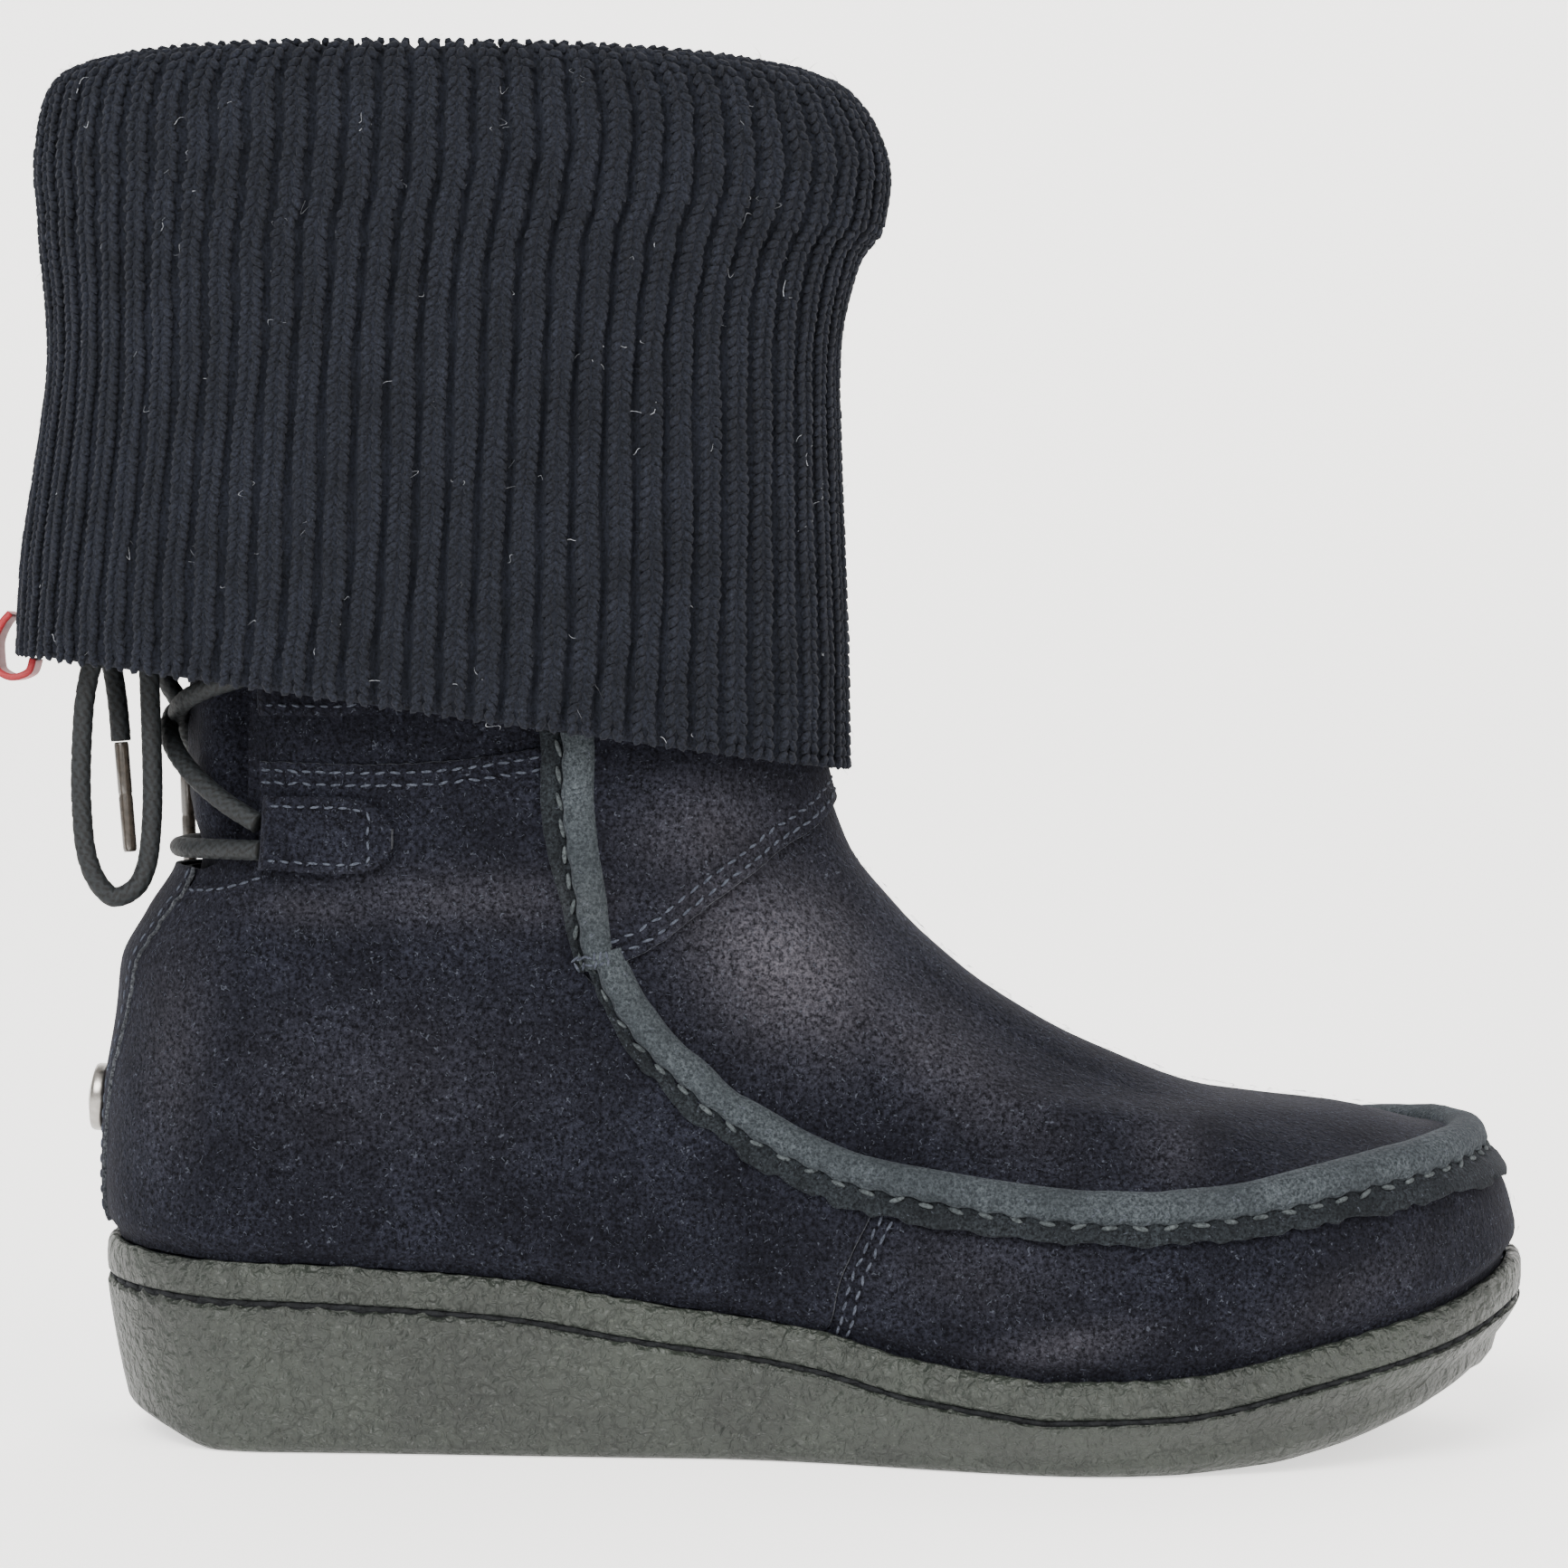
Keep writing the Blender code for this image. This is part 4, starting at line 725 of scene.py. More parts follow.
def glowing_sweep(name):
    """White studio sweep that glows of itself: its emission is painted light, which brightens it and
    softens the shadows on it. Pale, matt and even.
    """
    made, tree, shader = blank(name, 0.85)
    at = node(tree, "TexCoord").outputs["Object"]
    grain = node(tree, "TexNoise", {"Vector": at, "Scale": 600.0, "Detail": 2.0})
    base = node(tree, "Mix", {MIX_FACTOR: grain.outputs["Fac"], MIX_A: colour("#f4f3f2"),
                              MIX_B: colour("#f8f7f6")}, data_type="RGBA")
    tree.links.new(base.outputs[MIX_OUT], shader.inputs["Base Color"])
    # Painted light: the sweep glows like a lamp, filling the shadows on it and lighting the boot from
    # below.
    shader.inputs["Emission Color"].default_value = colour("#fbfaf8")
    shader.inputs["Emission Strength"].default_value = 1.3
    return made


NAVY_SUEDE = suede("navy brushed suede", "#020205", "#242630", "#504e54")
SEAM_SUEDE = suede("grey-green seam suede", "#1d2124", "#4a5054", "#5f6264", nap_mm=0.6)
EDGE_SUEDE = suede("dark seam edge suede", "#0a0c0e", "#2c3135", "#4a4c50", nap_mm=0.6)
RAW_EDGE = suede("cut suede edge", "#1a1c20", "#63666b", "#63666b", nap_mm=0.5)
RUBBER = crepe_rubber("crepe-look rubber")
KNIT_YARN = yarn("rib-knit wool yarn", "#020304", "#232630")
LINT_YARN = yarn("pale lint", "#7d8189", "#c5c8ce")
NAP_FIBRE = yarn("raised suede fibre", "#1c1e27", "#5a5f6e")
# Lace colours: #010202 is painted shade between the strands, #22272b a painted highlight on their crowns.
LACE_BRAID = braid("braided cotton lace", "#010202", "#22272b")
THREAD = yarn("waxed navy thread", "#20232b", "#525762", 0.3)
SEAM_THREAD = yarn("waxed grey-green thread", "#1f2325", "#565c5e", 0.3)
# Waxed black thread; the same material lines the sole's groove as painted shade.
DARK_THREAD_AND_GROOVE_SHADE = yarn("waxed black thread and painted groove shade", "#08090a", "#242628", 0.3)
METAL = nickel("nickel-plated stud")
FILM = acetate("smoky acetate lace tip")
TAPE = grosgrain("red grosgrain tape")
LINING = fleece("brushed lining")
SWEEP = glowing_sweep("pale glowing studio sweep")


def mesh_of(shape, name):
    """A mesh of a bmesh, which is freed."""
    mesh = bpy.data.meshes.new(name)
    shape.to_mesh(mesh)
    shape.free()
    return mesh


def add_mesh(name, mesh, *finishes):
    made = bpy.data.objects.new(name, mesh)
    bpy.context.scene.collection.objects.link(made)
    for finish in finishes:
        mesh.materials.append(finish)
    mesh.shade_smooth()
    return made


def sheet(name, table, finish, wrap=False, close_rows=False, painted_crown_light=None):
    """A sheet whose vertices stand at a table of points; rows cross columns face outward.
    wrap joins its columns into a tube, and close_rows its last row to its first."""
    if painted_crown_light is not None:
        painted_crown_light = np.concatenate([painted_crown_light, painted_crown_light[:, :1]], axis=1)
    if wrap:
        table = np.concatenate([table, table[:, :1]], axis=1)
    if close_rows:
        table = np.concatenate([table, table[:1]], axis=0)
    rows, columns = table.shape[:2]
    shape = bmesh.new()
    bmesh.ops.create_grid(shape, x_segments=rows - 1, y_segments=columns - 1, size=0.5)
    mesh = bpy.data.meshes.new(name)
    shape.to_mesh(mesh)
    flat = np.empty(len(mesh.vertices) * 3)
    mesh.vertices.foreach_get("co", flat)
    flat = flat.reshape(-1, 3)
    row = np.rint((flat[:, 0] + 0.5) * (rows - 1)).astype(int)
    column = np.rint((flat[:, 1] + 0.5) * (columns - 1)).astype(int)
    mesh.vertices.foreach_set("co", table[row, column].ravel().astype(np.float32))
    # The braid's relief, for the painted highlights on its crowns and painted shade between them.
    if painted_crown_light is not None:
        painted = mesh.attributes.new("painted_crown_light", "FLOAT", "POINT")
        painted.data.foreach_set("value", painted_crown_light[row, column].astype(np.float32))
    shape.free()
    if wrap or close_rows:
        shape = bmesh.new()
        shape.from_mesh(mesh)
        bmesh.ops.remove_doubles(shape, verts=shape.verts, dist=1e-7)
        if wrap and not close_rows:
            rims = [e for e in shape.edges if e.is_boundary]
            bmesh.ops.holes_fill(shape, edges=rims, sides=0)
        shape.to_mesh(mesh)
        shape.free()
    return add_mesh(name, mesh, finish)


def paint_wear(piece):
    """Give a suede piece the brushed patches as an attribute."""
    mesh = piece.data
    flat = np.empty(len(mesh.vertices) * 3)
    mesh.vertices.foreach_get("co", flat)
    along, up = flat[0::3] / MM, flat[2::3] / MM
    worn = np.zeros(len(mesh.vertices))
    for x, z, reach_x, reach_z, turn, strength in WORN:
        c, s = cos(radians(turn)), sin(radians(turn))
        u = ((along - x) * c + (up - z) * s) / reach_x
        v = ((up - z) * c - (along - x) * s) / reach_z
        worn = np.maximum(worn, strength * np.exp(-(u * u + v * v)))
    attribute = mesh.attributes.new("worn", "FLOAT", "POINT")
    attribute.data.foreach_set("value", worn.astype(np.float32))


def thicken(piece, thickness, edge=0.0):
    """Give a suede sheet a wall on its inner side, with a paler cut edge."""
    piece.data.materials.append(RAW_EDGE)
    wall = piece.modifiers.new("wall", "SOLIDIFY")
    wall.thickness = thickness
    wall.offset = -1
    wall.material_offset_rim = 1
    if edge:
        soft = piece.modifiers.new("soft edge", "BEVEL")
        soft.width = edge
        soft.segments = 2
        soft.angle_limit = radians(50)
    return piece


def settle(piece):
    """Apply a piece's modifiers to its mesh."""
    graph = bpy.context.evaluated_depsgraph_get()
    mesh = bpy.data.meshes.new_from_object(piece.evaluated_get(graph))
    piece.modifiers.clear()
    piece.data = mesh
    return piece


def dress(piece, finish_slot, *nodes):
    """Carry a piece with the boot, and let it stand for CAD nodes. Its finish slot is not used."""
    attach(piece, "root")
    if nodes:
        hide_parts(*nodes)
    return piece


def take_out(target, cutter):
    """Cut a shape out of a piece for good."""
    step = target.modifiers.new("cut", "BOOLEAN")
    step.operation = "DIFFERENCE"
    step.solver = "MANIFOLD"
    step.object = cutter
    bpy.context.view_layer.update()
    settle(target)
    bpy.data.objects.remove(cutter)


def small_shape(kind):
    """Vertices and triangles of a small shape that is copied many times."""
    shape = bmesh.new()
    levels = np.linspace(0, 1, 4 if kind == "hair" else 10)[1:-1]
    if kind == "stitch":
        bmesh.ops.create_uvsphere(shape, u_segments=6, v_segments=5, radius=1)
    elif kind == "loop":
        bmesh.ops.create_uvsphere(shape, u_segments=5, v_segments=3, radius=1)
    else:
        bmesh.ops.create_cone(shape, cap_ends=True, segments=3, radius1=1, radius2=0.35, depth=1)
        bmesh.ops.translate(shape, verts=shape.verts, vec=(0, 0, 0.5))
        for level in levels:
            bmesh.ops.bisect_plane(shape, geom=shape.verts[:] + shape.edges[:] + shape.faces[:],
                                   plane_co=(0, 0, level), plane_no=(0, 0, 1))
    bmesh.ops.triangulate(shape, faces=shape.faces)
    points = np.array([vert.co for vert in shape.verts])
    shape.verts.index_update()
    corners = np.array([[vert.index for vert in face.verts] for face in shape.faces])
    shape.free()
    return points, corners


def scatter(name, kind, centres, axes, finish, bend=None, curl=None):
    """Many copies of a small shape as one mesh. axes holds each copy's own X, Y and Z."""
    points, corners = small_shape(kind)
    placed = np.einsum("vk,mkd->mvd", points, axes) + centres[:, None]
    if bend is not None:
        placed = placed + (points[:, 2] ** 2)[None, :, None] * bend[:, None]
    if curl is not None:
        placed = placed + np.sin(points[:, 2] * 2 * pi)[None, :, None] * curl[:, None]
    copies, size = len(centres), len(points)
    faces = (corners[None] + (np.arange(copies) * size)[:, None, None]).reshape(-1, 3)
    mesh = bpy.data.meshes.new(name)
    mesh.vertices.add(copies * size)
    mesh.vertices.foreach_set("co", placed.ravel().astype(np.float32))
    mesh.loops.add(faces.size)
    mesh.loops.foreach_set("vertex_index", faces.ravel().astype(np.int32))
    mesh.polygons.add(len(faces))
    mesh.polygons.foreach_set("loop_start", np.arange(0, faces.size, 3, dtype=np.int32))
    mesh.update(calc_edges=True)
    mesh.validate()
    return add_mesh(name, mesh, finish)


def stitches_on(path, normals, pitch, size, jitter, seed):
    """Centres and axes of stitches along a path: size is length, width and thickness."""
    chance = np.random.default_rng(seed)
    steps = np.linalg.norm(np.diff(path, axis=0), axis=1)
    travelled = np.concatenate([[0], np.cumsum(steps)])
    count = max(2, int(round(travelled[-1] / pitch)))
    at = (np.arange(count) + 0.5) * travelled[-1] / count

    def here(table, s):
        return np.column_stack([np.interp(s, travelled, table[:, k]) for k in range(3)])

    centres = here(path, at)
    run = unit(here(path, at + pitch * 0.3) - here(path, at - pitch * 0.3))
    out = unit(here(normals, at))
    side = unit(np.cross(run, out))
    out = np.cross(side, run)
    turn = chance.normal(0, jitter, count)[:, None]
    run, side = run * np.cos(turn) + side * np.sin(turn), side * np.cos(turn) - run * np.sin(turn)
    length = size[0] * (1 + chance.normal(0, 0.07, count))[:, None] / 2
    return centres, np.stack([side * size[1] / 2, out * size[2] / 2, run * length], axis=1)


def skin_stitches(runs, pitch, size, lift, jitter=0.08):
    """Stitches over the skin along several runs of places."""
    centres, axes = [], []
    for index, places in enumerate(runs):
        fine = resample(places, 160)
        path = skin(fine[:, 0], fine[:, 1], lift)
        made = stitches_on(path, outward_at(fine[:, 0], fine[:, 1]), pitch, size, jitter, SEED + index)
        centres.append(made[0])
        axes.append(made[1])
    return np.concatenate(centres), np.concatenate(axes)


# Cords come first: the braided lace's bow loops and ends


def frames_on(path):
    """Unit run, side and upward vectors along a path, without twist."""
    run = unit(np.gradient(path, axis=0))
    side = np.empty_like(run)
    first = np.cross(run[0], (0.0, 0.3, 1.0))
    side[0] = first / np.linalg.norm(first)
    for i in range(1, len(run)):
        turned = side[i - 1] - run[i] * side[i - 1].dot(run[i])
        side[i] = turned / np.linalg.norm(turned)
    return run, side, np.cross(run, side)


def even_path(route, step):
    """A smooth path over a route at an even step."""
    route = np.asarray(route, dtype=float)
    fine = smooth(np.arange(len(route)), route, np.linspace(0, len(route) - 1, 1200))
    travelled = np.concatenate([[0], np.cumsum(np.linalg.norm(np.diff(fine, axis=0), axis=1))])
    at = np.linspace(0, travelled[-1], max(8, int(travelled[-1] / step)))
    return np.column_stack([np.interp(at, travelled, fine[:, k]) for k in range(3)]), at


def braided(name, route, diameter, finish, step=0.35 * MM, around=26):
    """A round braided cord: two sets of strands wind both ways and pass over each other."""
    path, at = even_path(route, step)
    _, side, up = frames_on(path)
    turn = np.linspace(0, 2 * pi, around, endpoint=False)
    strands, lay = 7, 2.9 * MM
    first = at[:, None] / lay + strands * turn[None] / (2 * pi)
    second = at[:, None] / lay - strands * turn[None] / (2 * pi)
    over = (np.floor(first) + np.floor(second)) % 2 == 0
    relief = np.where(over, np.abs(np.sin(pi * first)), np.abs(np.sin(pi * second))) ** 0.6
    radius = diameter / 2 * (0.88 + 0.14 * relief)
    table = (path[:, None] + radius[..., None] * (np.cos(turn)[None, :, None] * side[:, None]
                                                  + np.sin(turn)[None, :, None] * up[:, None]))
    # The relief also goes on the mesh as painted crown light for the lace's colour.
    piece = sheet(name, table[:, ::-1], finish, wrap=True, painted_crown_light=relief[:, ::-1])
    return piece, path


def make_aglet(name, route):
    """Lace tip: a wound film tube with a crimped ring and a nipped end."""
    tip = np.array(route[-1])
    run = tip - np.array(route[-2])
    run /= np.linalg.norm(run)
    start = tip + run * GAP
    profile = ((0.00, 0.30), (0.00, 0.46), (0.02, 0.50), (0.45, 0.49), (0.47, 0.455), (0.49, 0.455),
               (0.51, 0.49), (0.96, 0.48), (0.99, 0.44), (1.00, 0.36), (1.00, 0.0))
    shape = bmesh.new()
    verts = [shape.verts.new((share * AGLET_DIAMETER, 0, along * AGLET_LENGTH))
             for along, share in ((0.0, 0.0),) + profile]
    edges = [shape.edges.new(pair) for pair in zip(verts, verts[1:])]
    bmesh.ops.spin(shape, geom=verts + edges, cent=(0, 0, 0), axis=(0, 0, 1), angle=2 * pi, steps=20,
                   use_merge=True)
    bmesh.ops.remove_doubles(shape, verts=shape.verts, dist=1e-6)
    bmesh.ops.recalc_face_normals(shape, faces=shape.faces)
    _, side, up = frames_on(np.array([start, start + run]))
    turn = Matrix((side[0], up[0], run)).transposed().to_4x4()
    bmesh.ops.transform(shape, matrix=Matrix.Translation(start) @ turn, verts=shape.verts)
    mesh = mesh_of(shape, name)
    return add_mesh(name, mesh, FILM)


def make_free_laces():
    knot_route = []
    for share in np.linspace(0, 1, 26):
        turn = share * 2 * pi * 1.9
        knot_route.append((KNOT_CENTRE[0] + 0.0019 * cos(turn * 1.5 + 0.4),
                           KNOT_CENTRE[1] + 0.0054 * cos(turn),
                           KNOT_CENTRE[2] + 0.0040 * sin(turn * 1.5)))
    knot, _ = braided("bow_knot", knot_route, LACE * 0.98, LACE_BRAID)
    dress(knot, "lace", "lace_knot")
    for word, end in (("lateral", END_LATERAL), ("medial", END_MEDIAL)):
        tip = make_aglet(f"lace_tip_{word}", end)
        dress(tip, "aglet", f"aglet_{word}")
        piece, path = braided(f"lace_tail_{word}", end, LACE, LACE_BRAID)
        dress(piece, "lace", f"lace_end_{word}")
    for word, loop in (("lateral", LOOP_LATERAL), ("medial", LOOP_MEDIAL)):
        piece, path = braided(f"bow_loop_{word}", loop, LACE, LACE_BRAID)
        dress(piece, "lace", f"lace_loop_{word}")


make_free_laces()


# Sole


def eased(share):
    """Smooth step from 0 to 1 over a share from 0 to 1."""
    share = np.clip(share, 0, 1)
    return share * share * (3 - 2 * share)


def seen_tread(x):
    """Tread's height with the fuller toe and the rounder heel corner of the photograph."""
    fuller = 7.2 * eased((x / MM - 62) / 72)
    rounder = 1.5 * eased((-110 - x / MM) / 24)
    return np.maximum(tread_height(x) + (rounder - fuller) * MM, 0)


def seen_ends(table):
    """Sole loops with the toe's end pushed out and the heel's drawn in, as the upper's are."""
    x = table[..., 0]
    moved = table.copy()
    moved[..., 0] = (x + 2.1 * MM * np.clip((x - 0.100) / 0.036, 0, 1) ** 1.5
                     + 1.6 * MM * np.clip((-0.100 - x) / 0.036, 0, 1) ** 1.5)
    return moved


def make_outsole():
    """Cup sole with a rolled rim, a stitched groove with an uneven lower lip, and a tread; a black sheet of
    painted shade lines the groove's floor.
    """
    count = 560
    angles = np.arange(count) * 2 * pi / count
    flat = outline(angles)
    tread = seen_tread(flat[:, 0])
    rim = rim_height(flat[:, 0])
    band_foot = rim - RIM_BAND
    side_top = band_foot - GROOVE_HEIGHT * 0.72
    round_toe = 1 + 2.0 * eased((flat[:, 0] / MM - 40) / 60)
    corner = EDGE_RADIUS * round_toe
    around = np.concatenate([[0], np.cumsum(np.linalg.norm(np.diff(flat, axis=0), axis=1))])
    heel = np.clip((-flat[:, 0] - 0.055) / 0.05, 0, 1)
    scallop = np.abs(np.sin(pi * (around + 1.5 * MM * wobble(around, 14 * MM, 6)) / (5.2 * MM))) ** 0.7
    lip = -0.85 * MM * (scallop - 0.35 + 0.5 * wobble(around, 3.0 * MM, 3)) * (0.6 + 0.7 * heel)
    wave = 0.25 * MM * wobble(around, 9 * MM, 4)
    uneven = 0.22 * MM * wobble(around, 2.2 * MM, 5)
    lines = [
        (SIDE_LEAN + EDGE_RADIUS * 0.6 + corner, tread),
        (SIDE_LEAN + corner, tread),
        (SIDE_LEAN + corner * 0.62, tread + corner * 0.07),
        (SIDE_LEAN + corner * 0.30, tread + corner * 0.28),
        (SIDE_LEAN + corner * 0.10, tread + corner * 0.58),
        (SIDE_LEAN, tread + corner),
    ]
    for share in np.linspace(0.15, 0.96, 10):
        inset = SIDE_LEAN * (1 - share) ** 1.25
        lines.append((inset - wave * 0.5, tread + corner + (side_top - tread - corner) * share))
    lines += [
        (GROOVE_DEPTH * 0.15 - wave * 0.3, side_top - 0.0004 + lip),
        (GROOVE_DEPTH * 0.40, side_top + 0.0001 + lip),
        (GROOVE_DEPTH, side_top + 0.0002 + lip * 0.5),
        (GROOVE_DEPTH, band_foot - 0.0001),
        (GROOVE_DEPTH * 0.35, band_foot + 0.0001),
        (0.0001 + uneven * 0.3, band_foot + 0.0005),
        (-0.0001, rim - RIM_BAND * 0.70),
        (-0.0001 - uneven * 0.3, rim - RIM_BAND * 0.45),
        (uneven * 0.3, rim - RIM_BAND * 0.22),
        (RIM_THICKNESS * 0.12, rim - RIM_BAND * 0.08 + uneven * 0.4),
        (RIM_THICKNESS * 0.35, rim + uneven),
        (RIM_THICKNESS * 0.70, rim + uneven),
        (RIM_THICKNESS, rim - RIM_BAND * 0.06 + uneven * 0.5),
        (RIM_THICKNESS + GAP, rim - CUP_DEPTH * 0.5),
        (RIM_THICKNESS + GAP, rim - CUP_DEPTH),
    ]
    side = [sole_loop(angles, inset, level) for inset, level in lines]

    def disc(loop, towards):
        """Loops from a loop in to a line down the sole's middle."""
        x = loop[:, 0]
        level = seen_tread(x) if towards == "tread" else rim_height(x) - CUP_DEPTH
        made = []
        for share in (0.0, 0.2, 0.45, 0.7, 0.9):
            y = centre_line(x) + (loop[:, 1] - centre_line(x)) * share
            made.append(np.column_stack([x, y, level]))
        return made

    table = seen_ends(np.array(disc(side[0], "tread") + side + disc(side[-1], "cup")[::-1]))
    sole = sheet("sole_unit", table, RUBBER, wrap=True)
    cutters = bmesh.new()
    pairs = int((SOLE_LENGTH / 2 - TREAD_MARGIN) / TREAD_PITCH)
    for i in range(2 * pairs):
        x = (i + 0.5 - pairs) * TREAD_PITCH
        angle = np.arccos(2 * x / SOLE_LENGTH)
        sides = outline(np.array([angle, -angle]))[:, 1]
        width = sides[1] - sides[0] - 2 * TREAD_MARGIN
        floor = tread_height(x).item()
        rise = (tread_height(x + TREAD_GROOVE) - tread_height(x - TREAD_GROOVE)).item()
        made = bmesh.ops.create_cube(cutters, size=1)["verts"]
        turn = Matrix.Rotation(-np.arctan2(rise, 2 * TREAD_GROOVE), 4, "Y")
        size = Matrix.Diagonal((TREAD_GROOVE, width, TREAD_DEPTH * 2, 1))
        bmesh.ops.transform(cutters, verts=made,
                            matrix=Matrix.Translation((x, sides.mean(), floor)) @ turn @ size)
    mesh = mesh_of(cutters, "grooves")
    take_out(sole, add_mesh("grooves", mesh, RUBBER))
    sole.data.shade_smooth()
    sole.data.set_sharp_from_angle(angle=radians(38))
    dress(sole, "rubber", "outsole")

    # Painted shade: a black sheet in the thread's material lines the groove's floor, so the groove reads
    # dark as though in shadow.
    floor = [sole_loop(angles, GROOVE_DEPTH * 0.80, side_top - 0.0001 + lip),
             sole_loop(angles, GROOVE_DEPTH * 0.72, (side_top + band_foot) / 2),
             sole_loop(angles, GROOVE_DEPTH * 0.80, band_foot),
             sole_loop(angles, GROOVE_DEPTH * 1.2, (side_top + band_foot) / 2)]
    cord = sheet("groove_painted_shade", seen_ends(np.array(floor)), DARK_THREAD_AND_GROOVE_SHADE, wrap=True, close_rows=True)
    dress(cord, "rubber")
    groove_path = sole_loop(angles, GROOVE_DEPTH * 0.72, (side_top + band_foot) / 2)
    groove_path = seen_ends(np.vstack([groove_path, groove_path[:1]]))
    out = np.zeros_like(groove_path)
    wide = sole_loop(angles, -0.001, 0) - sole_loop(angles, 0, 0)
    out[:-1] = unit(wide)
    out[-1] = out[0]
    centres, axes = stitches_on(groove_path, out, 5.2 * MM, (4.9 * MM, 1.15 * MM, 0.8 * MM), 0.06, 8)
    thread = scatter("sole_thread", "stitch", centres, axes, DARK_THREAD_AND_GROOVE_SHADE)
    dress(thread, "rubber")


def make_footbed():
    """Footbed on the cup's floor: a soft-edged board with a brushed cover."""
    count = 180
    angles = np.arange(count) * 2 * pi / count
    inset = RIM_THICKNESS + 3 * GAP + WALL
    bottom, top = GAP - CUP_DEPTH, GAP + INSOLE_THICKNESS - CUP_DEPTH
    loops = []
    for draw, rise in ((16, bottom), (6, bottom), (0, bottom), (0, top - 0.0012), (0.5, top - 0.0003),
                       (1.4, top), (6, top), (16, top)):
        loops.append(over_rim(angles, inset + draw * MM, rise))
    middle = []
    for loop in (loops[0], loops[-1]):
        x = loop[:, 0]
        middle.append(np.column_stack([x, centre_line(x), loop[:, 2]]))
    table = np.array([middle[0]] + loops + [middle[1]])
    bed = sheet("footbed", table, LINING, wrap=True)
    dress(bed, "lining", "insole")


make_outsole()
make_footbed()


# Upper


def make_shell():
    """The upper's base wall: toe apron, plug and rear collar band, open at the back throat."""
    around, up, inside = 290, 78, 20
    angles = np.arange(around) * 2 * pi / around
    outer_rows = np.linspace(0.6, TOP_ROW, up)
    inner_rows = np.linspace(TOP_ROW, 0.6, inside)
    outer = [skin(angles, np.full(around, row)) for row in outer_rows]
    inner = [skin(angles, np.full(around, row), -WALL) for row in inner_rows]
    shell = sheet("upper_shell", np.array(outer + inner), NAVY_SUEDE, wrap=True, close_rows=True)
    half, top = NOTCH_WIDTH / 2, COLLAR_HEIGHT + WALL
    arc = np.linspace(0, pi / 2, 9)
    right = [(half - NOTCH_RADIUS * (1 - sin(a)), NOTCH_FLOOR + NOTCH_RADIUS * (1 - cos(a))) for a in arc]
    loop = right + [(half, top), (-half, top)] + [(-y, z) for y, z in reversed(right)]
    back, front = SHAFT_CENTRE - SHAFT_LENGTH * 0.75, SHAFT_CENTRE - SHAFT_LENGTH * 0.20
    shape = bmesh.new()
    verts = [shape.verts.new((back, y, z)) for y, z in loop]
    face = shape.faces.new(verts)
    moved = bmesh.ops.extrude_face_region(shape, geom=[face])["geom"]
    bmesh.ops.translate(shape, verts=[v for v in moved if isinstance(v, bmesh.types.BMVert)],
                        vec=(front - back, 0, 0))
    bmesh.ops.recalc_face_normals(shape, faces=shape.faces)
    mesh = mesh_of(shape, "throat")
    take_out(shell, add_mesh("throat", mesh, NAVY_SUEDE))
    shell.data.shade_smooth()
    shell.data.set_sharp_from_angle(angle=radians(45))
    paint_wear(shell)
    dress(shell, "suede", "upper")


def coons(bottom, right, top, left, rows, columns):
    """Places over a four-sided patch of the skin, from its four edges. Bottom and top run from
    the left edge to the right one, and left and right run up."""
    bottom, top = resample(bottom, columns), resample(top, columns)
    left, right = resample(left, rows), resample(right, rows)
    u = np.linspace(0, 1, columns)[None, :, None]
    v = np.linspace(0, 1, rows)[:, None, None]
    across = (1 - v) * bottom[None] + v * top[None]
    along = (1 - u) * left[:, None] + u * right[:, None]
    corners = ((1 - u) * (1 - v) * bottom[0] + u * (1 - v) * bottom[-1]
               + (1 - u) * v * top[0] + u * v * top[-1])
    return across + along - corners


def overlay(name, places, lift, thickness, ragged=0.0, seed=1):
    """A suede sheet laid over the skin, with its cut edges a little uneven."""
    rows, columns = places.shape[:2]
    made = []
    for side, word in ((1, "lateral"), (-1, "medial")):
        table = places * (side, 1)
        if side > 0:
            table = table[:, ::-1]
        points = skin(table[..., 0], table[..., 1], lift)
        if ragged:
            edge = np.zeros((rows, columns))
            reach = wobble(np.arange(columns) * 1.0, 1.7, seed)
            edge[-1] = reach
            edge[0] = reach[::-1]
            points = points + edge[..., None] * (0, 0, ragged)
        piece = sheet(f"{name}_{word}", points, NAVY_SUEDE)
        paint_wear(piece)
        thicken(piece, thickness, 0.25 * MM)
        settle(piece)
        made.append(dress(piece, "suede"))
    return made


def seam_run(count):
    leave = share_place(0.021, 0.320)
    ring = [(angle, RING_ROW) for angle in np.linspace(0, leave[0] - 0.06, 9)]
    return resample(ring + [share_place(*p) for p in SEAM_RISE], count)


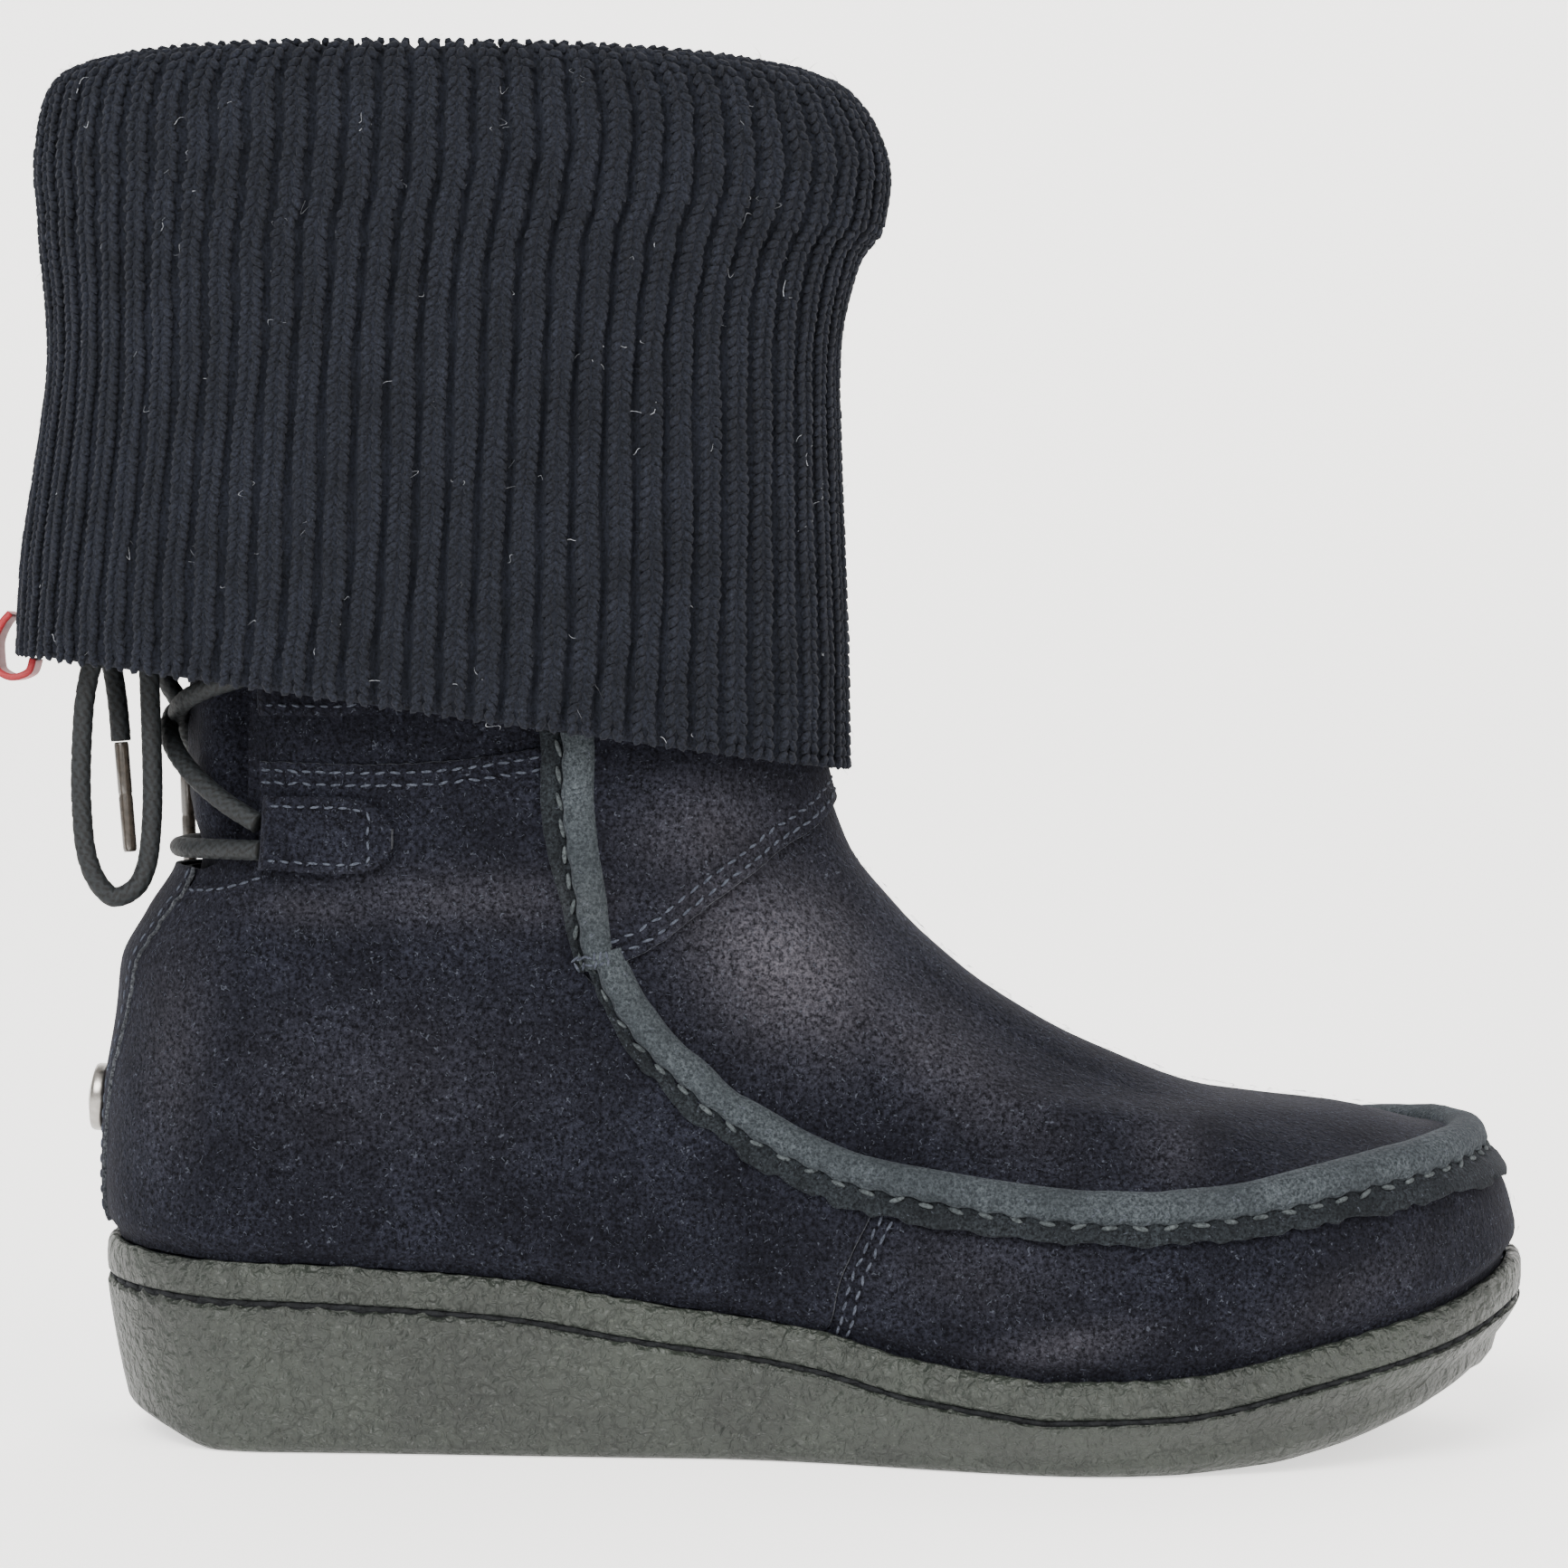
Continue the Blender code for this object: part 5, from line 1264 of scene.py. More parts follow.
def make_quarters():
    """Side panels behind the side seam, up to their double-stitched top edge."""
    seam = seam_run(200)
    seam_points = bare_skin(*seam.T)
    start = np.argmin(np.abs(seam_points[:, 0] - 0.0135))
    upper_part = beside(seam[start:], -1.5 * MM)
    strip = resample(line(STRIP_VALLEY), 30)
    strip_points = bare_skin(*strip.T)
    strip = strip[strip_points[:, 2] < 0.1320]
    side = line(SIDE_SEAM)[::-1]
    right = np.vstack([side[:-1], upper_part[::14], strip[::4], [place(*QUARTER_TOP[-1])]])
    top = line(QUARTER_TOP)
    heel = [(pi - 0.02, row) for row in np.linspace(1.7, 8.6, 8)]
    left = np.vstack([heel, line(QUARTER_NOTCH)])
    bottom = np.array([(angle, 1.7) for angle in np.linspace(pi - 0.02, right[0, 0], 12)])
    right[0] = bottom[-1]
    places = coons(bottom, right, top, left, 92, 108)
    overlay("quarter", places, 0.8 * MM, 1.1 * MM, ragged=0.15 * MM)
    rows_top = [beside(line(QUARTER_TOP), shift * MM) for shift in (1.6, 4.0)]
    rows_side = [beside(line(SIDE_SEAM), shift * MM) for shift in (-2.0, -4.0)]
    throat = line(((-117.5, 104.5), (-112.0, 105.0), (-106.5, 106.5), (-102.5, 108.0)))
    runs = rows_top + rows_side + [beside(throat, 0.9 * MM)]
    runs += [mirrored(run) for run in runs]
    centres, axes = skin_stitches(runs, 2.9 * MM, (2.1 * MM, 0.60 * MM, 0.5 * MM), 0.84 * MM, 0.16)
    dress(scatter("quarter_stitches", "stitch", centres, axes, THREAD), "suede")


def panel_places(rows, columns):
    """Front collar panel between the two strips, over its slanting lower edge."""
    strip = beside(resample(line(STRIP_VALLEY), 24), 5.4 * MM)
    strip = np.vstack([strip, [strip[-1, 0], TOP_ROW]])
    low = line(PANEL_EDGE)
    low = np.vstack([low, [0.0, row_at(0, 0.1222)]])
    low = resample(np.vstack([low, mirrored(low)[::-1][1:]]), columns)
    order = np.argsort(strip[:, 1])
    reach = abs(low[0, 0])
    table = np.empty((rows, columns, 2))
    for i, share in enumerate(np.linspace(0, 1, rows)):
        row = low[:, 1] + (TOP_ROW - 0.4 - low[:, 1]) * share
        edge = np.interp(row, strip[order, 1], strip[order, 0])
        table[i, :, 0] = low[:, 0] / reach * (reach * (1 - min(1, share * 6)) + edge * min(1, share * 6))
        table[i, :, 1] = row
    return table, low


def make_front_panel():
    table, low = panel_places(50, 130)
    table = table[:, ::-1]
    points = skin(table[..., 0], table[..., 1], 1.3 * MM)
    rough = wobble(np.arange(130), 1.6, 12)
    points[0] += rough[:, None] * (0, 0, 0.15 * MM)
    piece = sheet("front_collar_panel", points, NAVY_SUEDE)
    paint_wear(piece)
    thicken(piece, 1.2 * MM, 0.25 * MM)
    settle(piece)
    dress(piece, "suede", "front_panel")
    runs = [beside(low, -shift * MM) for shift in (1.7, 4.1)]
    centres, axes = skin_stitches(runs, 3.0 * MM, (2.1 * MM, 0.60 * MM, 0.5 * MM), 1.33 * MM, 0.16)
    dress(scatter("front_panel_stitches", "stitch", centres, axes, THREAD), "suede")


# Seam sections, in millimetres across and up: the cut flange, then the roll
MOC_FLANGE = ((-4.3, 0.2), (-4.6, 0.9), (-4.65, 1.5), (-4.3, 1.9), (-3.5, 1.85), (-2.8, 1.5),
              (-2.2, 1.05), (-1.2, 0.8))
MOC_ROLL = ((-1.5, -0.3), (-1.65, 0.6), (-1.6, 1.4), (-1.2, 2.2), (-0.4, 2.9), (0.7, 3.2),
            (1.9, 3.1), (3.0, 2.6), (4.0, 1.7), (4.5, 0.8), (4.6, -0.3))
STRIP_FLANGE = ((-5.6, 0.2), (-5.9, 0.9), (-5.85, 1.6), (-5.4, 2.0), (-4.4, 1.9), (-3.4, 1.5),
                (-2.7, 1.05), (-1.6, 0.8))
STRIP_ROLL = ((-1.8, -0.3), (-2.0, 0.7), (-1.9, 1.6), (-1.5, 2.4), (-0.4, 2.9), (1.2, 3.0),
              (2.6, 2.6), (3.6, 1.8), (4.0, 0.9), (4.1, -0.3))
SEAM_TOP = (-0.1446, 0.5495)


def swept_seam(name, places, section_mm, finish, seed, widths=None, rounded=0.0):
    """A seam part along places, with its section uneven as hand work is."""
    count, columns = len(places), 22
    length = run_length(places)
    at = np.linspace(0, length, count)
    from_end = np.minimum(at, length - at)
    points = smooth(np.arange(len(section_mm)), np.array(section_mm),
                    np.linspace(0, len(section_mm) - 1, columns))
    under = np.linspace(section_mm[-1][0] - 0.3, section_mm[0][0] + 0.3, 5)
    points = np.vstack([points, np.column_stack([under, np.full(5, -0.3)])])
    pucker = np.cos(at / (5.5 * MM) * 2 * pi)
    wide = np.ones(count) if widths is None else widths(at, length)
    domed = np.sqrt(1 - np.clip(1 - from_end / rounded, 0, 1) ** 2) if rounded else np.ones(count)
    loops = []
    for k, (across, lift) in enumerate(points):
        shift = -1.7 + (across + 1.7) * wide + 0.2 * wobble(at, 14 * MM, seed)
        lifted = np.full(count, lift)
        if lift > 0:
            cut_edge = np.exp(-((across + 4.6) / 1.0) ** 2)
            near_valley = np.exp(-((across + 1.5) / 0.9) ** 2)
            shift = shift + 0.40 * cut_edge * wobble(at, 2.2 * MM, seed + 1)
            shift = shift - 0.25 * near_valley * pucker
            lifted = lift * (1 + 0.05 * wobble(at, 9 * MM, seed + 2)) - 0.2 * near_valley * pucker
            lifted = (lifted + 0.06 * wobble(at + k * 3 * MM, 3 * MM, seed + 3)) * (0.3 + 0.7 * domed)
        moved = beside(places, shift * MM)
        loops.append(skin(moved[:, 0], moved[:, 1], lifted * MM))
    piece = sheet(name, np.stack(loops, axis=1), finish, wrap=True)
    shape = bmesh.new()
    shape.from_mesh(piece.data)
    bmesh.ops.recalc_face_normals(shape, faces=shape.faces)
    shape.to_mesh(piece.data)
    shape.free()
    piece.data.set_sharp_from_angle(angle=radians(60))
    paint_wear(piece)
    return piece


def turn_over(piece):
    """Turn a piece over to the inner side, with its faces outward."""
    shape = bmesh.new()
    shape.from_mesh(piece.data)
    bmesh.ops.scale(shape, vec=(1, -1, 1), verts=shape.verts)
    bmesh.ops.reverse_faces(shape, faces=shape.faces)
    shape.to_mesh(piece.data)
    shape.free()


def make_seams():
    half = seam_run(240)
    half = resample(np.vstack([half[::12], half[-1:], [share_place(*SEAM_TOP)]]), 260)
    whole = np.concatenate([mirrored(half)[:0:-1], half])

    def hidden_high(at, length):
        return 0.35 + 0.65 * np.clip(np.minimum(at, length - at) / (34 * MM), 0, 1)

    dress(swept_seam("moccasin_roll", whole, MOC_ROLL, SEAM_SUEDE, 31), "seam_leather", "moc_seam")
    dress(swept_seam("moccasin_edge", whole, MOC_FLANGE, EDGE_SUEDE, 35, hidden_high), "seam_leather")
    valley_line = resample(line(STRIP_VALLEY), 120)
    strip = beside(valley_line, 2.6 * MM)

    def narrow_low(at, length):
        return 0.42 + 0.58 * np.clip(at / (26 * MM), 0, 1)

    for word, side in (("lateral", 1), ("medial", -1)):
        parts = (("roll", STRIP_ROLL, SEAM_SUEDE, None), ("edge", STRIP_FLANGE, EDGE_SUEDE, narrow_low))
        for part, section_mm, finish, widths in parts:
            name = f"collar_{part}_{word}"
            piece = swept_seam(name, strip, section_mm, finish, 41, widths, 1.2 * MM)
            if side < 0:
                turn_over(piece)
            nodes = (f"collar_strip_{word}",) if part == "roll" else ()
            dress(piece, "seam_leather", *nodes)
    valley = beside(whole, -2.1 * MM)
    centres, axes = skin_stitches([valley], 5.6 * MM, (3.1 * MM, 1.1 * MM, 1.0 * MM), 1.10 * MM, 0.22)
    dress(scatter("moccasin_stitches", "stitch", centres, axes, SEAM_THREAD), "seam_leather")
    runs = [valley_line, mirrored(valley_line)]
    centres, axes = skin_stitches(runs, 5.0 * MM, (3.6 * MM, 1.0 * MM, 1.0 * MM), 1.45 * MM, 0.25)
    dress(scatter("collar_seam_stitches", "stitch", centres, axes, SEAM_THREAD), "seam_leather")
    crossed = []
    for across in np.linspace(-0.6, 5.6, 6):
        crossed.append(resample(beside(valley_line, across * MM)[1:9], 8))
    crossed += [mirrored(run) for run in crossed]
    centres, axes = skin_stitches(crossed, 1.7 * MM, (1.9 * MM, 0.55 * MM, 0.6 * MM), 3.0 * MM, 0.9)
    dress(scatter("collar_end_stitches", "stitch", centres, axes, THREAD), "seam_leather")


def make_backstay():
    """Strip up the back of the heel, narrow at the sole and wide under the throat."""
    levels, halves = np.array(BACKSTAY_HALF).T
    rows = np.linspace(2.7, 9.95, 100)
    back = bare_skin(np.full(len(rows), pi), rows)[:, 2] / COLLAR_HEIGHT
    half = np.interp(back, levels, halves)
    shares = np.linspace(-1, 1, 44)
    rough = 1 + 0.035 * wobble(np.arange(len(rows)), 1.4, 61)
    angles = pi + shares[None] * (half * rough)[:, None]
    points = skin(angles, np.broadcast_to(rows[:, None], angles.shape), 1.6 * MM)
    piece = sheet("backstay_strip", points, NAVY_SUEDE)
    paint_wear(piece)
    thicken(piece, 1.2 * MM, 0.3 * MM)
    settle(piece)
    dress(piece, "suede", "backstay")
    runs = []
    for side in (-1, 1):
        runs.append(np.column_stack([pi + side * (half - 0.030), rows])[4:])
    centres, axes = skin_stitches(runs, 3.0 * MM, (2.0 * MM, 0.55 * MM, 0.5 * MM), 1.65 * MM)
    dress(scatter("backstay_stitches", "stitch", centres, axes, THREAD), "suede")


def make_gusset():
    """Thin folded suede that closes the back throat: inside the wall at its edges, and out
    to just under the laces in the opening."""
    reach = 0.98
    rows = np.linspace(share_place(-0.40, 0.585)[1], TOP_ROW - 0.95, 62)
    angles = np.linspace(pi - reach, pi + reach, 96)
    a, r = np.meshgrid(angles, rows)
    levels = bare_skin(a.ravel(), r.ravel())[:, 2].reshape(a.shape)
    inner = -WALL - 2.2 * GAP - 0.5 * MM
    outer = (-0.9 + 1.6 * np.clip((levels / MM - 113) / 9, 0, 1)) * MM
    open_wide = np.clip((0.64 - np.abs(a - pi)) / 0.16, 0, 1)
    open_high = np.clip((levels - NOTCH_FLOOR - 2 * MM) / (8 * MM), 0, 1)
    open_both = open_wide * open_high
    open_both = open_both * open_both * (3 - 2 * open_both)
    fold = np.sin((a - pi) * 11 + 0.6 * np.sin(r * 2.2)) * 0.5 * MM
    lift = inner + (outer - inner) * open_both + fold * (0.4 + open_both) - 0.4 * MM * open_both
    points = skin(a, r, lift, creased=False)
    piece = sheet("throat_gusset", points, NAVY_SUEDE)
    paint_wear(piece)
    thicken(piece, 0.8 * MM)
    settle(piece)
    dress(piece, "suede", "gusset")


def make_tabs():
    """Lace tabs: each is folded round the lace at its rear edge and sewn down round its front."""
    for name, along, up in TAB_PLACES:
        half = TAB_LENGTH / 2
        start = np.array(share_place(along - half / SOLE_LENGTH, up))
        end = np.array(share_place(along + half / SOLE_LENGTH, up))
        shares = np.linspace(0, 1, 64)
        widths = np.interp(shares, (0, 0.04, 0.66, 0.78, 0.88, 0.95, 1.0),
                           (0.92, 1, 1, 0.95, 0.80, 0.60, 0.32)) * TAB_HEIGHT / 2
        lifts = np.interp(shares, (0, 0.04, 0.10, 0.20, 0.32, 0.44, 0.6, 1.0),
                          (2.9, 4.4, 5.0, 4.6, 3.6, 3.35, 3.25, 3.1)) * MM
        rough = 1 + 0.03 * wobble(np.arange(64), 2.3, 71)
        places = start + 1.10 * shares[:, None] * (end - start)
        table = []
        for across in np.linspace(-1, 1, 36):
            round_edge = 0.4 * MM * max(0, abs(across) - 0.86) / 0.14
            table.append((beside(places, across * widths * rough), lifts - round_edge))
        inset = 1.9 * MM
        one_side = beside(places, widths - inset)[6:54]
        other_side = beside(places, inset - widths)[6:54]
        tip = np.array([beside(places, across * (widths - inset))[53] for across in (0.6, 0.2, -0.2, -0.6)])
        around = np.vstack([one_side, tip, other_side[::-1]])
        for side, word in ((1, "lateral"), (-1, "medial")):
            points = np.array([skin(moved[:, 0] * side, moved[:, 1], lift) for moved, lift in table])
            if side < 0:
                points = points[::-1]
            piece = sheet(f"tab_{word}_{name}", points, NAVY_SUEDE)
            paint_wear(piece)
            thicken(piece, 2.1 * MM, 0.35 * MM)
            settle(piece)
            dress(piece, "suede", f"lace_tab_{word}_{name}")
            lifts_here = np.interp(np.linspace(0, 1, 160), (0, 0.10, 0.25, 0.75, 0.90, 1.0),
                                   (4.8, 4.4, 3.35, 3.35, 4.4, 4.8)) * MM
            centres, axes = skin_stitches([around * (side, 1)], 2.7 * MM, (1.8 * MM, 0.55 * MM, 0.5 * MM),
                                          lifts_here, 0.15)
            dress(scatter(f"tab_stitches_{word}_{name}", "stitch", centres, axes, THREAD), "suede")


def make_stud():
    """Domed metal stud with a rolled rim on the heel strip."""
    rows = np.linspace(3.5, 9, 120)
    levels = bare_skin(np.full(120, pi), rows)[:, 2]
    row = np.interp(STUD_LEVEL, levels, rows)
    foot = skin(np.array([pi]), np.array([row]), 1.7 * MM)[0]
    axis = outward_at(np.array([pi]), np.array([row]))[0]
    radius = STUD_DIAMETER / 2
    profile = ((0.0, -0.3), (0.97, -0.3), (1.00, 0.05), (1.00, 0.42), (0.965, 0.60), (0.90, 0.66),
               (0.84, 0.60), (0.80, 0.56), (0.70, 0.70), (0.50, 0.86), (0.26, 0.96), (0.0, 1.0))
    shape = bmesh.new()
    verts = [shape.verts.new((share * radius, 0, rise * STUD_HEIGHT)) for share, rise in profile]
    edges = [shape.edges.new(pair) for pair in zip(verts, verts[1:])]
    bmesh.ops.spin(shape, geom=verts + edges, cent=(0, 0, 0), axis=(0, 0, 1), angle=2 * pi, steps=40,
                   use_merge=True)
    bmesh.ops.remove_doubles(shape, verts=shape.verts, dist=1e-6)
    bmesh.ops.recalc_face_normals(shape, faces=shape.faces)
    upward = unit(np.cross(axis, (0, 1, 0)))
    aside = np.cross(upward, axis)
    turn = Matrix((aside, upward, axis)).transposed().to_4x4()
    bmesh.ops.transform(shape, matrix=Matrix.Translation(foot) @ turn, verts=shape.verts)
    mesh = mesh_of(shape, "stud_cap")
    dress(add_mesh("stud_cap", mesh, METAL), "stud", "heel_stud")


make_shell()
make_quarters()
make_front_panel()
make_seams()
make_backstay()
make_gusset()
make_tabs()
make_stud()


# Knit cuff

RIBS = 66
WALES_TILT = 0.075
ROW_STEP = 1.80 * MM


EVEN_ENDS = (0.230, 0.040)
OUTER_ROWS = 7


def cuff_table(angles):
    """Loops of the knit's middle surface from the hem over the fold into the shaft."""
    along = (1 + np.cos(angles)) / 2
    back_edge = SHAFT_CENTRE - SHAFT_LENGTH / 2
    front_edge = SHAFT_CENTRE + SHAFT_LENGTH / 2
    loops = []
    for number, (up_back, up_front, back, front, half) in enumerate(CUFF_ROWS):
        even_back, even_front = EVEN_ENDS if number < OUTER_ROWS else (back, front)
        back_x = back_edge - even_back * SHAFT_LENGTH
        front_x = front_edge + even_front * SHAFT_LENGTH
        x = back_x + (front_x - back_x) * along
        x = x + SHAFT_LENGTH * ((front - even_front) * along ** 5 - (back - even_back) * (1 - along) ** 5)
        level = CUFF_TOP * (up_back + (up_front - up_back) * along)
        reach = (SHAFT_WIDTH / 2 + half * SHAFT_LENGTH) * ends(along, 0.44, 0.46)
        y = centre_line(x) - np.sign(np.sin(angles)) * reach
        loops.append(np.column_stack([x, y, level]))
    inside = -WALL - GAP - KNIT / 2
    top = skin(angles, np.full(len(angles), TOP_ROW), inside, creased=False) + (0, 0, WALL)
    foot = skin(angles, np.full(len(angles), TOP_ROW - 0.80), inside, creased=False)
    return np.array(loops + [top, foot])


CUFF_TABLE = cuff_table(ALL_ANGLES)
CUFF_SLOPES = knot_slopes(np.diff(CUFF_TABLE, axis=0))
CUFF_KNOTS = len(CUFF_TABLE)
EVEN_ROW = 2
ROUND_CUFF = np.linalg.norm(np.diff(CUFF_TABLE[EVEN_ROW], axis=0), axis=1)
ROUND_SHARE = np.concatenate([[0], np.cumsum(ROUND_CUFF)]) / ROUND_CUFF.sum()


def cuff_point(angles, knots):
    """Points of the knit's middle surface at pairs of angle and knot."""
    return on_loops(CUFF_TABLE, CUFF_SLOPES, angles, np.clip(knots, 0, CUFF_KNOTS - 1))


def wale_angle(share, knots):
    """Angle of a wale at a share of the way round, leaning towards the toe as it rises."""
    swerve = 0.0006 * np.sin(knots * 4.1 + share * 43) + 0.0005 * np.sin(knots * 11 + share * 211)
    base = np.interp((share + swerve) % 1.0, ROUND_SHARE, ALL_ANGLES)
    lean = WALES_TILT * np.clip(knots, 0, 5) / 5
    return base - lean * np.sin(base)


def knit_surface(shares, knots, lift):
    """Points and outward directions of the knit at a lift over its middle surface."""
    shares, knots, lift = np.broadcast_arrays(shares, knots, lift)
    shape = shares.shape
    s, k, h = (np.ravel(part).astype(float) for part in (shares, knots, lift))
    step = 0.0015
    here = cuff_point(wale_angle(s, k), k)
    round_cuff = cuff_point(wale_angle(s + step, k), k) - cuff_point(wale_angle(s - step, k), k)
    low, high = np.clip(k - 0.02, 0, CUFF_KNOTS - 1), np.clip(k + 0.02, 0, CUFF_KNOTS - 1)
    up_cuff = cuff_point(wale_angle(s, high), high) - cuff_point(wale_angle(s, low), low)
    out = unit(np.cross(up_cuff, round_cuff))
    return (here + h[:, None] * out).reshape(*shape, 3), out.reshape(*shape, 3)


def rib_lift(shares):
    """Height of the ribs: round wales with narrow deep valleys between them."""
    phase = (shares * RIBS) % 1.0 - 0.5
    bulge = np.clip(1 - np.abs(phase / 0.45) ** 3.2, 0, 1)
    return (-1.1 + 2.0 * bulge) * MM


def knot_heights():
    """Distance up the cuff's side at an even spread of knots."""
    knots = np.linspace(0, CUFF_KNOTS - 1, 1201)
    points = cuff_point(np.full(1201, pi / 2), knots)
    return knots, np.concatenate([[0], np.cumsum(np.linalg.norm(np.diff(points, axis=0), axis=1))])


KNOTS, TRAVEL = knot_heights()


TOP_KNOT = 8


def make_cuff():
    """Folded rib-knit cuff: a ribbed wall with its face stitches as separate loops of yarn."""
    columns, rows = RIBS * 6, 74
    shares = np.arange(columns) / columns
    travel = np.linspace(0, TRAVEL[-1], rows)
    knots = np.interp(travel, TRAVEL, KNOTS)
    s, k = np.meshgrid(shares, knots)
    hem = np.clip(1 - np.minimum(travel, TRAVEL[-1] - travel) / (2.2 * MM), 0, 1)[:, None] ** 2
    top = 1 - 0.45 * np.exp(-((k - TOP_KNOT) / 1.2) ** 2)
    over, _ = knit_surface(s, k, (rib_lift(s) * top + 0.2 * MM) * (1 - hem) - 0.3 * MM * hem)
    under, _ = knit_surface(s, k, (-rib_lift(s + 0.5 / RIBS) * 0.5 - 1.1 * MM) * (1 - hem) - 0.6 * MM * hem)
    table = np.concatenate([over, under[::-1]])
    wall = sheet("knit_wall", table, KNIT_YARN, wrap=True, close_rows=True)
    dress(wall, "knit", "knit_cuff")

    reach = int(TRAVEL[np.searchsorted(KNOTS, 9.2)] / ROW_STEP)
    chance = np.random.default_rng(SEED + 5)
    heights = (np.arange(reach) + 0.4) * ROW_STEP
    rib, row = (part.ravel() for part in np.meshgrid(np.arange(RIBS), np.arange(reach)))
    centres, axes = [], []
    for side in (-1, 1):
        at = np.interp(heights[row], TRAVEL, KNOTS)
        share = (rib + 0.5 + side * 0.19) / RIBS
        _, out = knit_surface(share, at, 0.0)
        lift = (1.15 - 0.75 * np.clip((out[:, 2] - 0.45) / 0.4, 0, 1)) * MM
        points, out = knit_surface(share, at, lift)
        above = np.interp(heights[row] + 0.8 * MM, TRAVEL, KNOTS)
        raised, _ = knit_surface(share, above, lift)
        run = unit(raised - points)
        aside = unit(np.cross(out, run))
        outer = unit(out - 0.45 * side * aside)
        lean = radians(30) * side + chance.normal(0, 0.09, len(rib))
        leaned = run * np.cos(lean)[:, None] - aside * np.sin(lean)[:, None]
        across = unit(np.cross(leaned, outer))
        outer = np.cross(across, leaned)
        swell = (1 + chance.normal(0, 0.06, len(rib)))[:, None]
        centres.append(points - outer * 0.15 * MM)
        axes.append(np.stack([across * 0.90 * MM * swell, outer * 0.88 * MM * swell,
                              leaned * 1.52 * MM], axis=1))
    centres, axes = np.concatenate(centres), np.concatenate(axes)
    near = centres[:, 1] < 0
    for word, chosen in (("lateral", near), ("medial", ~near)):
        loops = scatter(f"knit_loops_{word}", "loop", centres[chosen], axes[chosen], KNIT_YARN)
        dress(loops, "knit")


def hairs(count, lengths, thickness, seed, low, high, stand):
    """Centres, axes and bends of loose hairs over the cuff's outer face."""
    chance = np.random.default_rng(seed)
    share = chance.uniform(0, 1, count)
    knots = np.interp(chance.uniform(low, high, count) * TRAVEL[-1], TRAVEL, KNOTS)
    points, out = knit_surface(share, knots, rib_lift(share) + 0.3 * MM)
    length = chance.uniform(*lengths, count)[:, None]
    lie = unit(chance.normal(0, 1, (count, 3)))
    lie = unit(lie - out * (lie * out).sum(axis=1, keepdims=True))
    run = unit(lie + out * chance.uniform(*stand, count)[:, None])
    side = unit(np.cross(run, out))
    up = np.cross(side, run)
    thick = thickness / 2
    bend = side * chance.normal(0, 0.4, count)[:, None] * length - out * 0.25 * length
    curl = side * chance.normal(0, 0.16, count)[:, None] * length
    return points, np.stack([side * thick, up * thick, run * length], axis=1), bend, curl


def make_hairs():
    centres, axes, bend, _ = hairs(3500, (1.2 * MM, 3.2 * MM), 0.10 * MM, SEED + 9, 0.0, 0.55, (0.3, 1.6))
    dress(scatter("knit_fuzz", "hair", centres, axes, KNIT_YARN, bend), "knit")
    parts = [hairs(240, (1.2 * MM, 3.5 * MM), 0.17 * MM, SEED + 10, 0.0, 0.52, (0.0, 0.2)),
             hairs(36, (4 * MM, 8 * MM), 0.20 * MM, SEED + 11, 0.0, 0.52, (0.0, 0.12))]
    centres, axes, bend, curl = (np.concatenate(part) for part in zip(*parts))
    dress(scatter("pale_lint", "curl", centres, axes, LINT_YARN, bend, curl * 2.4), "knit")


def make_nap():
    """Longer fibres of the suede's nap, which catch the light one by one."""
    chance = np.random.default_rng(SEED + 12)
    count = 2700
    angles = chance.uniform(0, 2 * pi, count)
    rows = 2.6 + 9.4 * chance.uniform(0, 1, count) ** 0.8
    points = skin(angles, rows, 0.85 * MM)
    throat = (points[:, 0] < -0.100) & (points[:, 2] > 0.104) & (np.abs(points[:, 1]) < 0.026)
    angles, rows, points = angles[~throat], rows[~throat], points[~throat]
    count = len(points)
    out = outward_at(angles, rows)
    lie = chance.normal(0, 1, (count, 3)) + (0.5, 0, -0.8)
    lie = unit(lie - out * (lie * out).sum(axis=1, keepdims=True))
    run = unit(lie + out * 0.35)
    side = unit(np.cross(run, out))
    length = chance.uniform(0.5 * MM, 1.5 * MM, count)[:, None]
    thick = 0.05 * MM
    axes = np.stack([side * thick, np.cross(side, run) * thick, run * length], axis=1)
    bend = side * chance.normal(0, 0.4, count)[:, None] * length - out * 0.3 * length
    dress(scatter("suede_nap_fibres", "hair", points, axes, NAP_FIBRE, bend), "suede")


def make_pull_tape():
    """Small red tape loop sewn to the hem at the back."""
    back = SHAFT_CENTRE - SHAFT_LENGTH / 2
    hem = CUFF_ROWS[0]
    face = back - hem[2] * SHAFT_LENGTH - KNIT / 2 - GAP - 0.0004
    level = CUFF_TOP * hem[0]
    run = ((0.0, 0.0075), (-0.0016, 0.0055), (-0.0030, 0.0015), (-0.0026, -0.0030),
           (0.0004, -0.0048), (0.0036, -0.0036), (0.0044, -0.0012))
    route = np.array([(face + x, level + z) for x, z in run])
    fine = smooth(np.arange(len(route)), route, np.linspace(0, len(route) - 1, 60))
    middle = centre_line(back).item()
    sides = middle + np.linspace(-0.5, 0.5, 12) * TAPE_WIDTH
    table = np.array([[(x, y, z) for y in sides] for x, z in fine])
    piece = sheet("red_tape_loop", table, TAPE)
    wall = piece.modifiers.new("wall", "SOLIDIFY")
    wall.thickness = 1.3 * MM
    wall.offset = 0
    settle(piece)
    dress(piece, "tape", "pull_tape")


def skin_rows(angle, ups):
    """Rows at one angle whose heights are these shares of the collar's height."""
    rows = np.linspace(8, TOP_ROW, 160)
    levels = bare_skin(np.full(160, angle), rows)[:, 2]
    return np.interp(height(np.asarray(ups)), levels, rows)


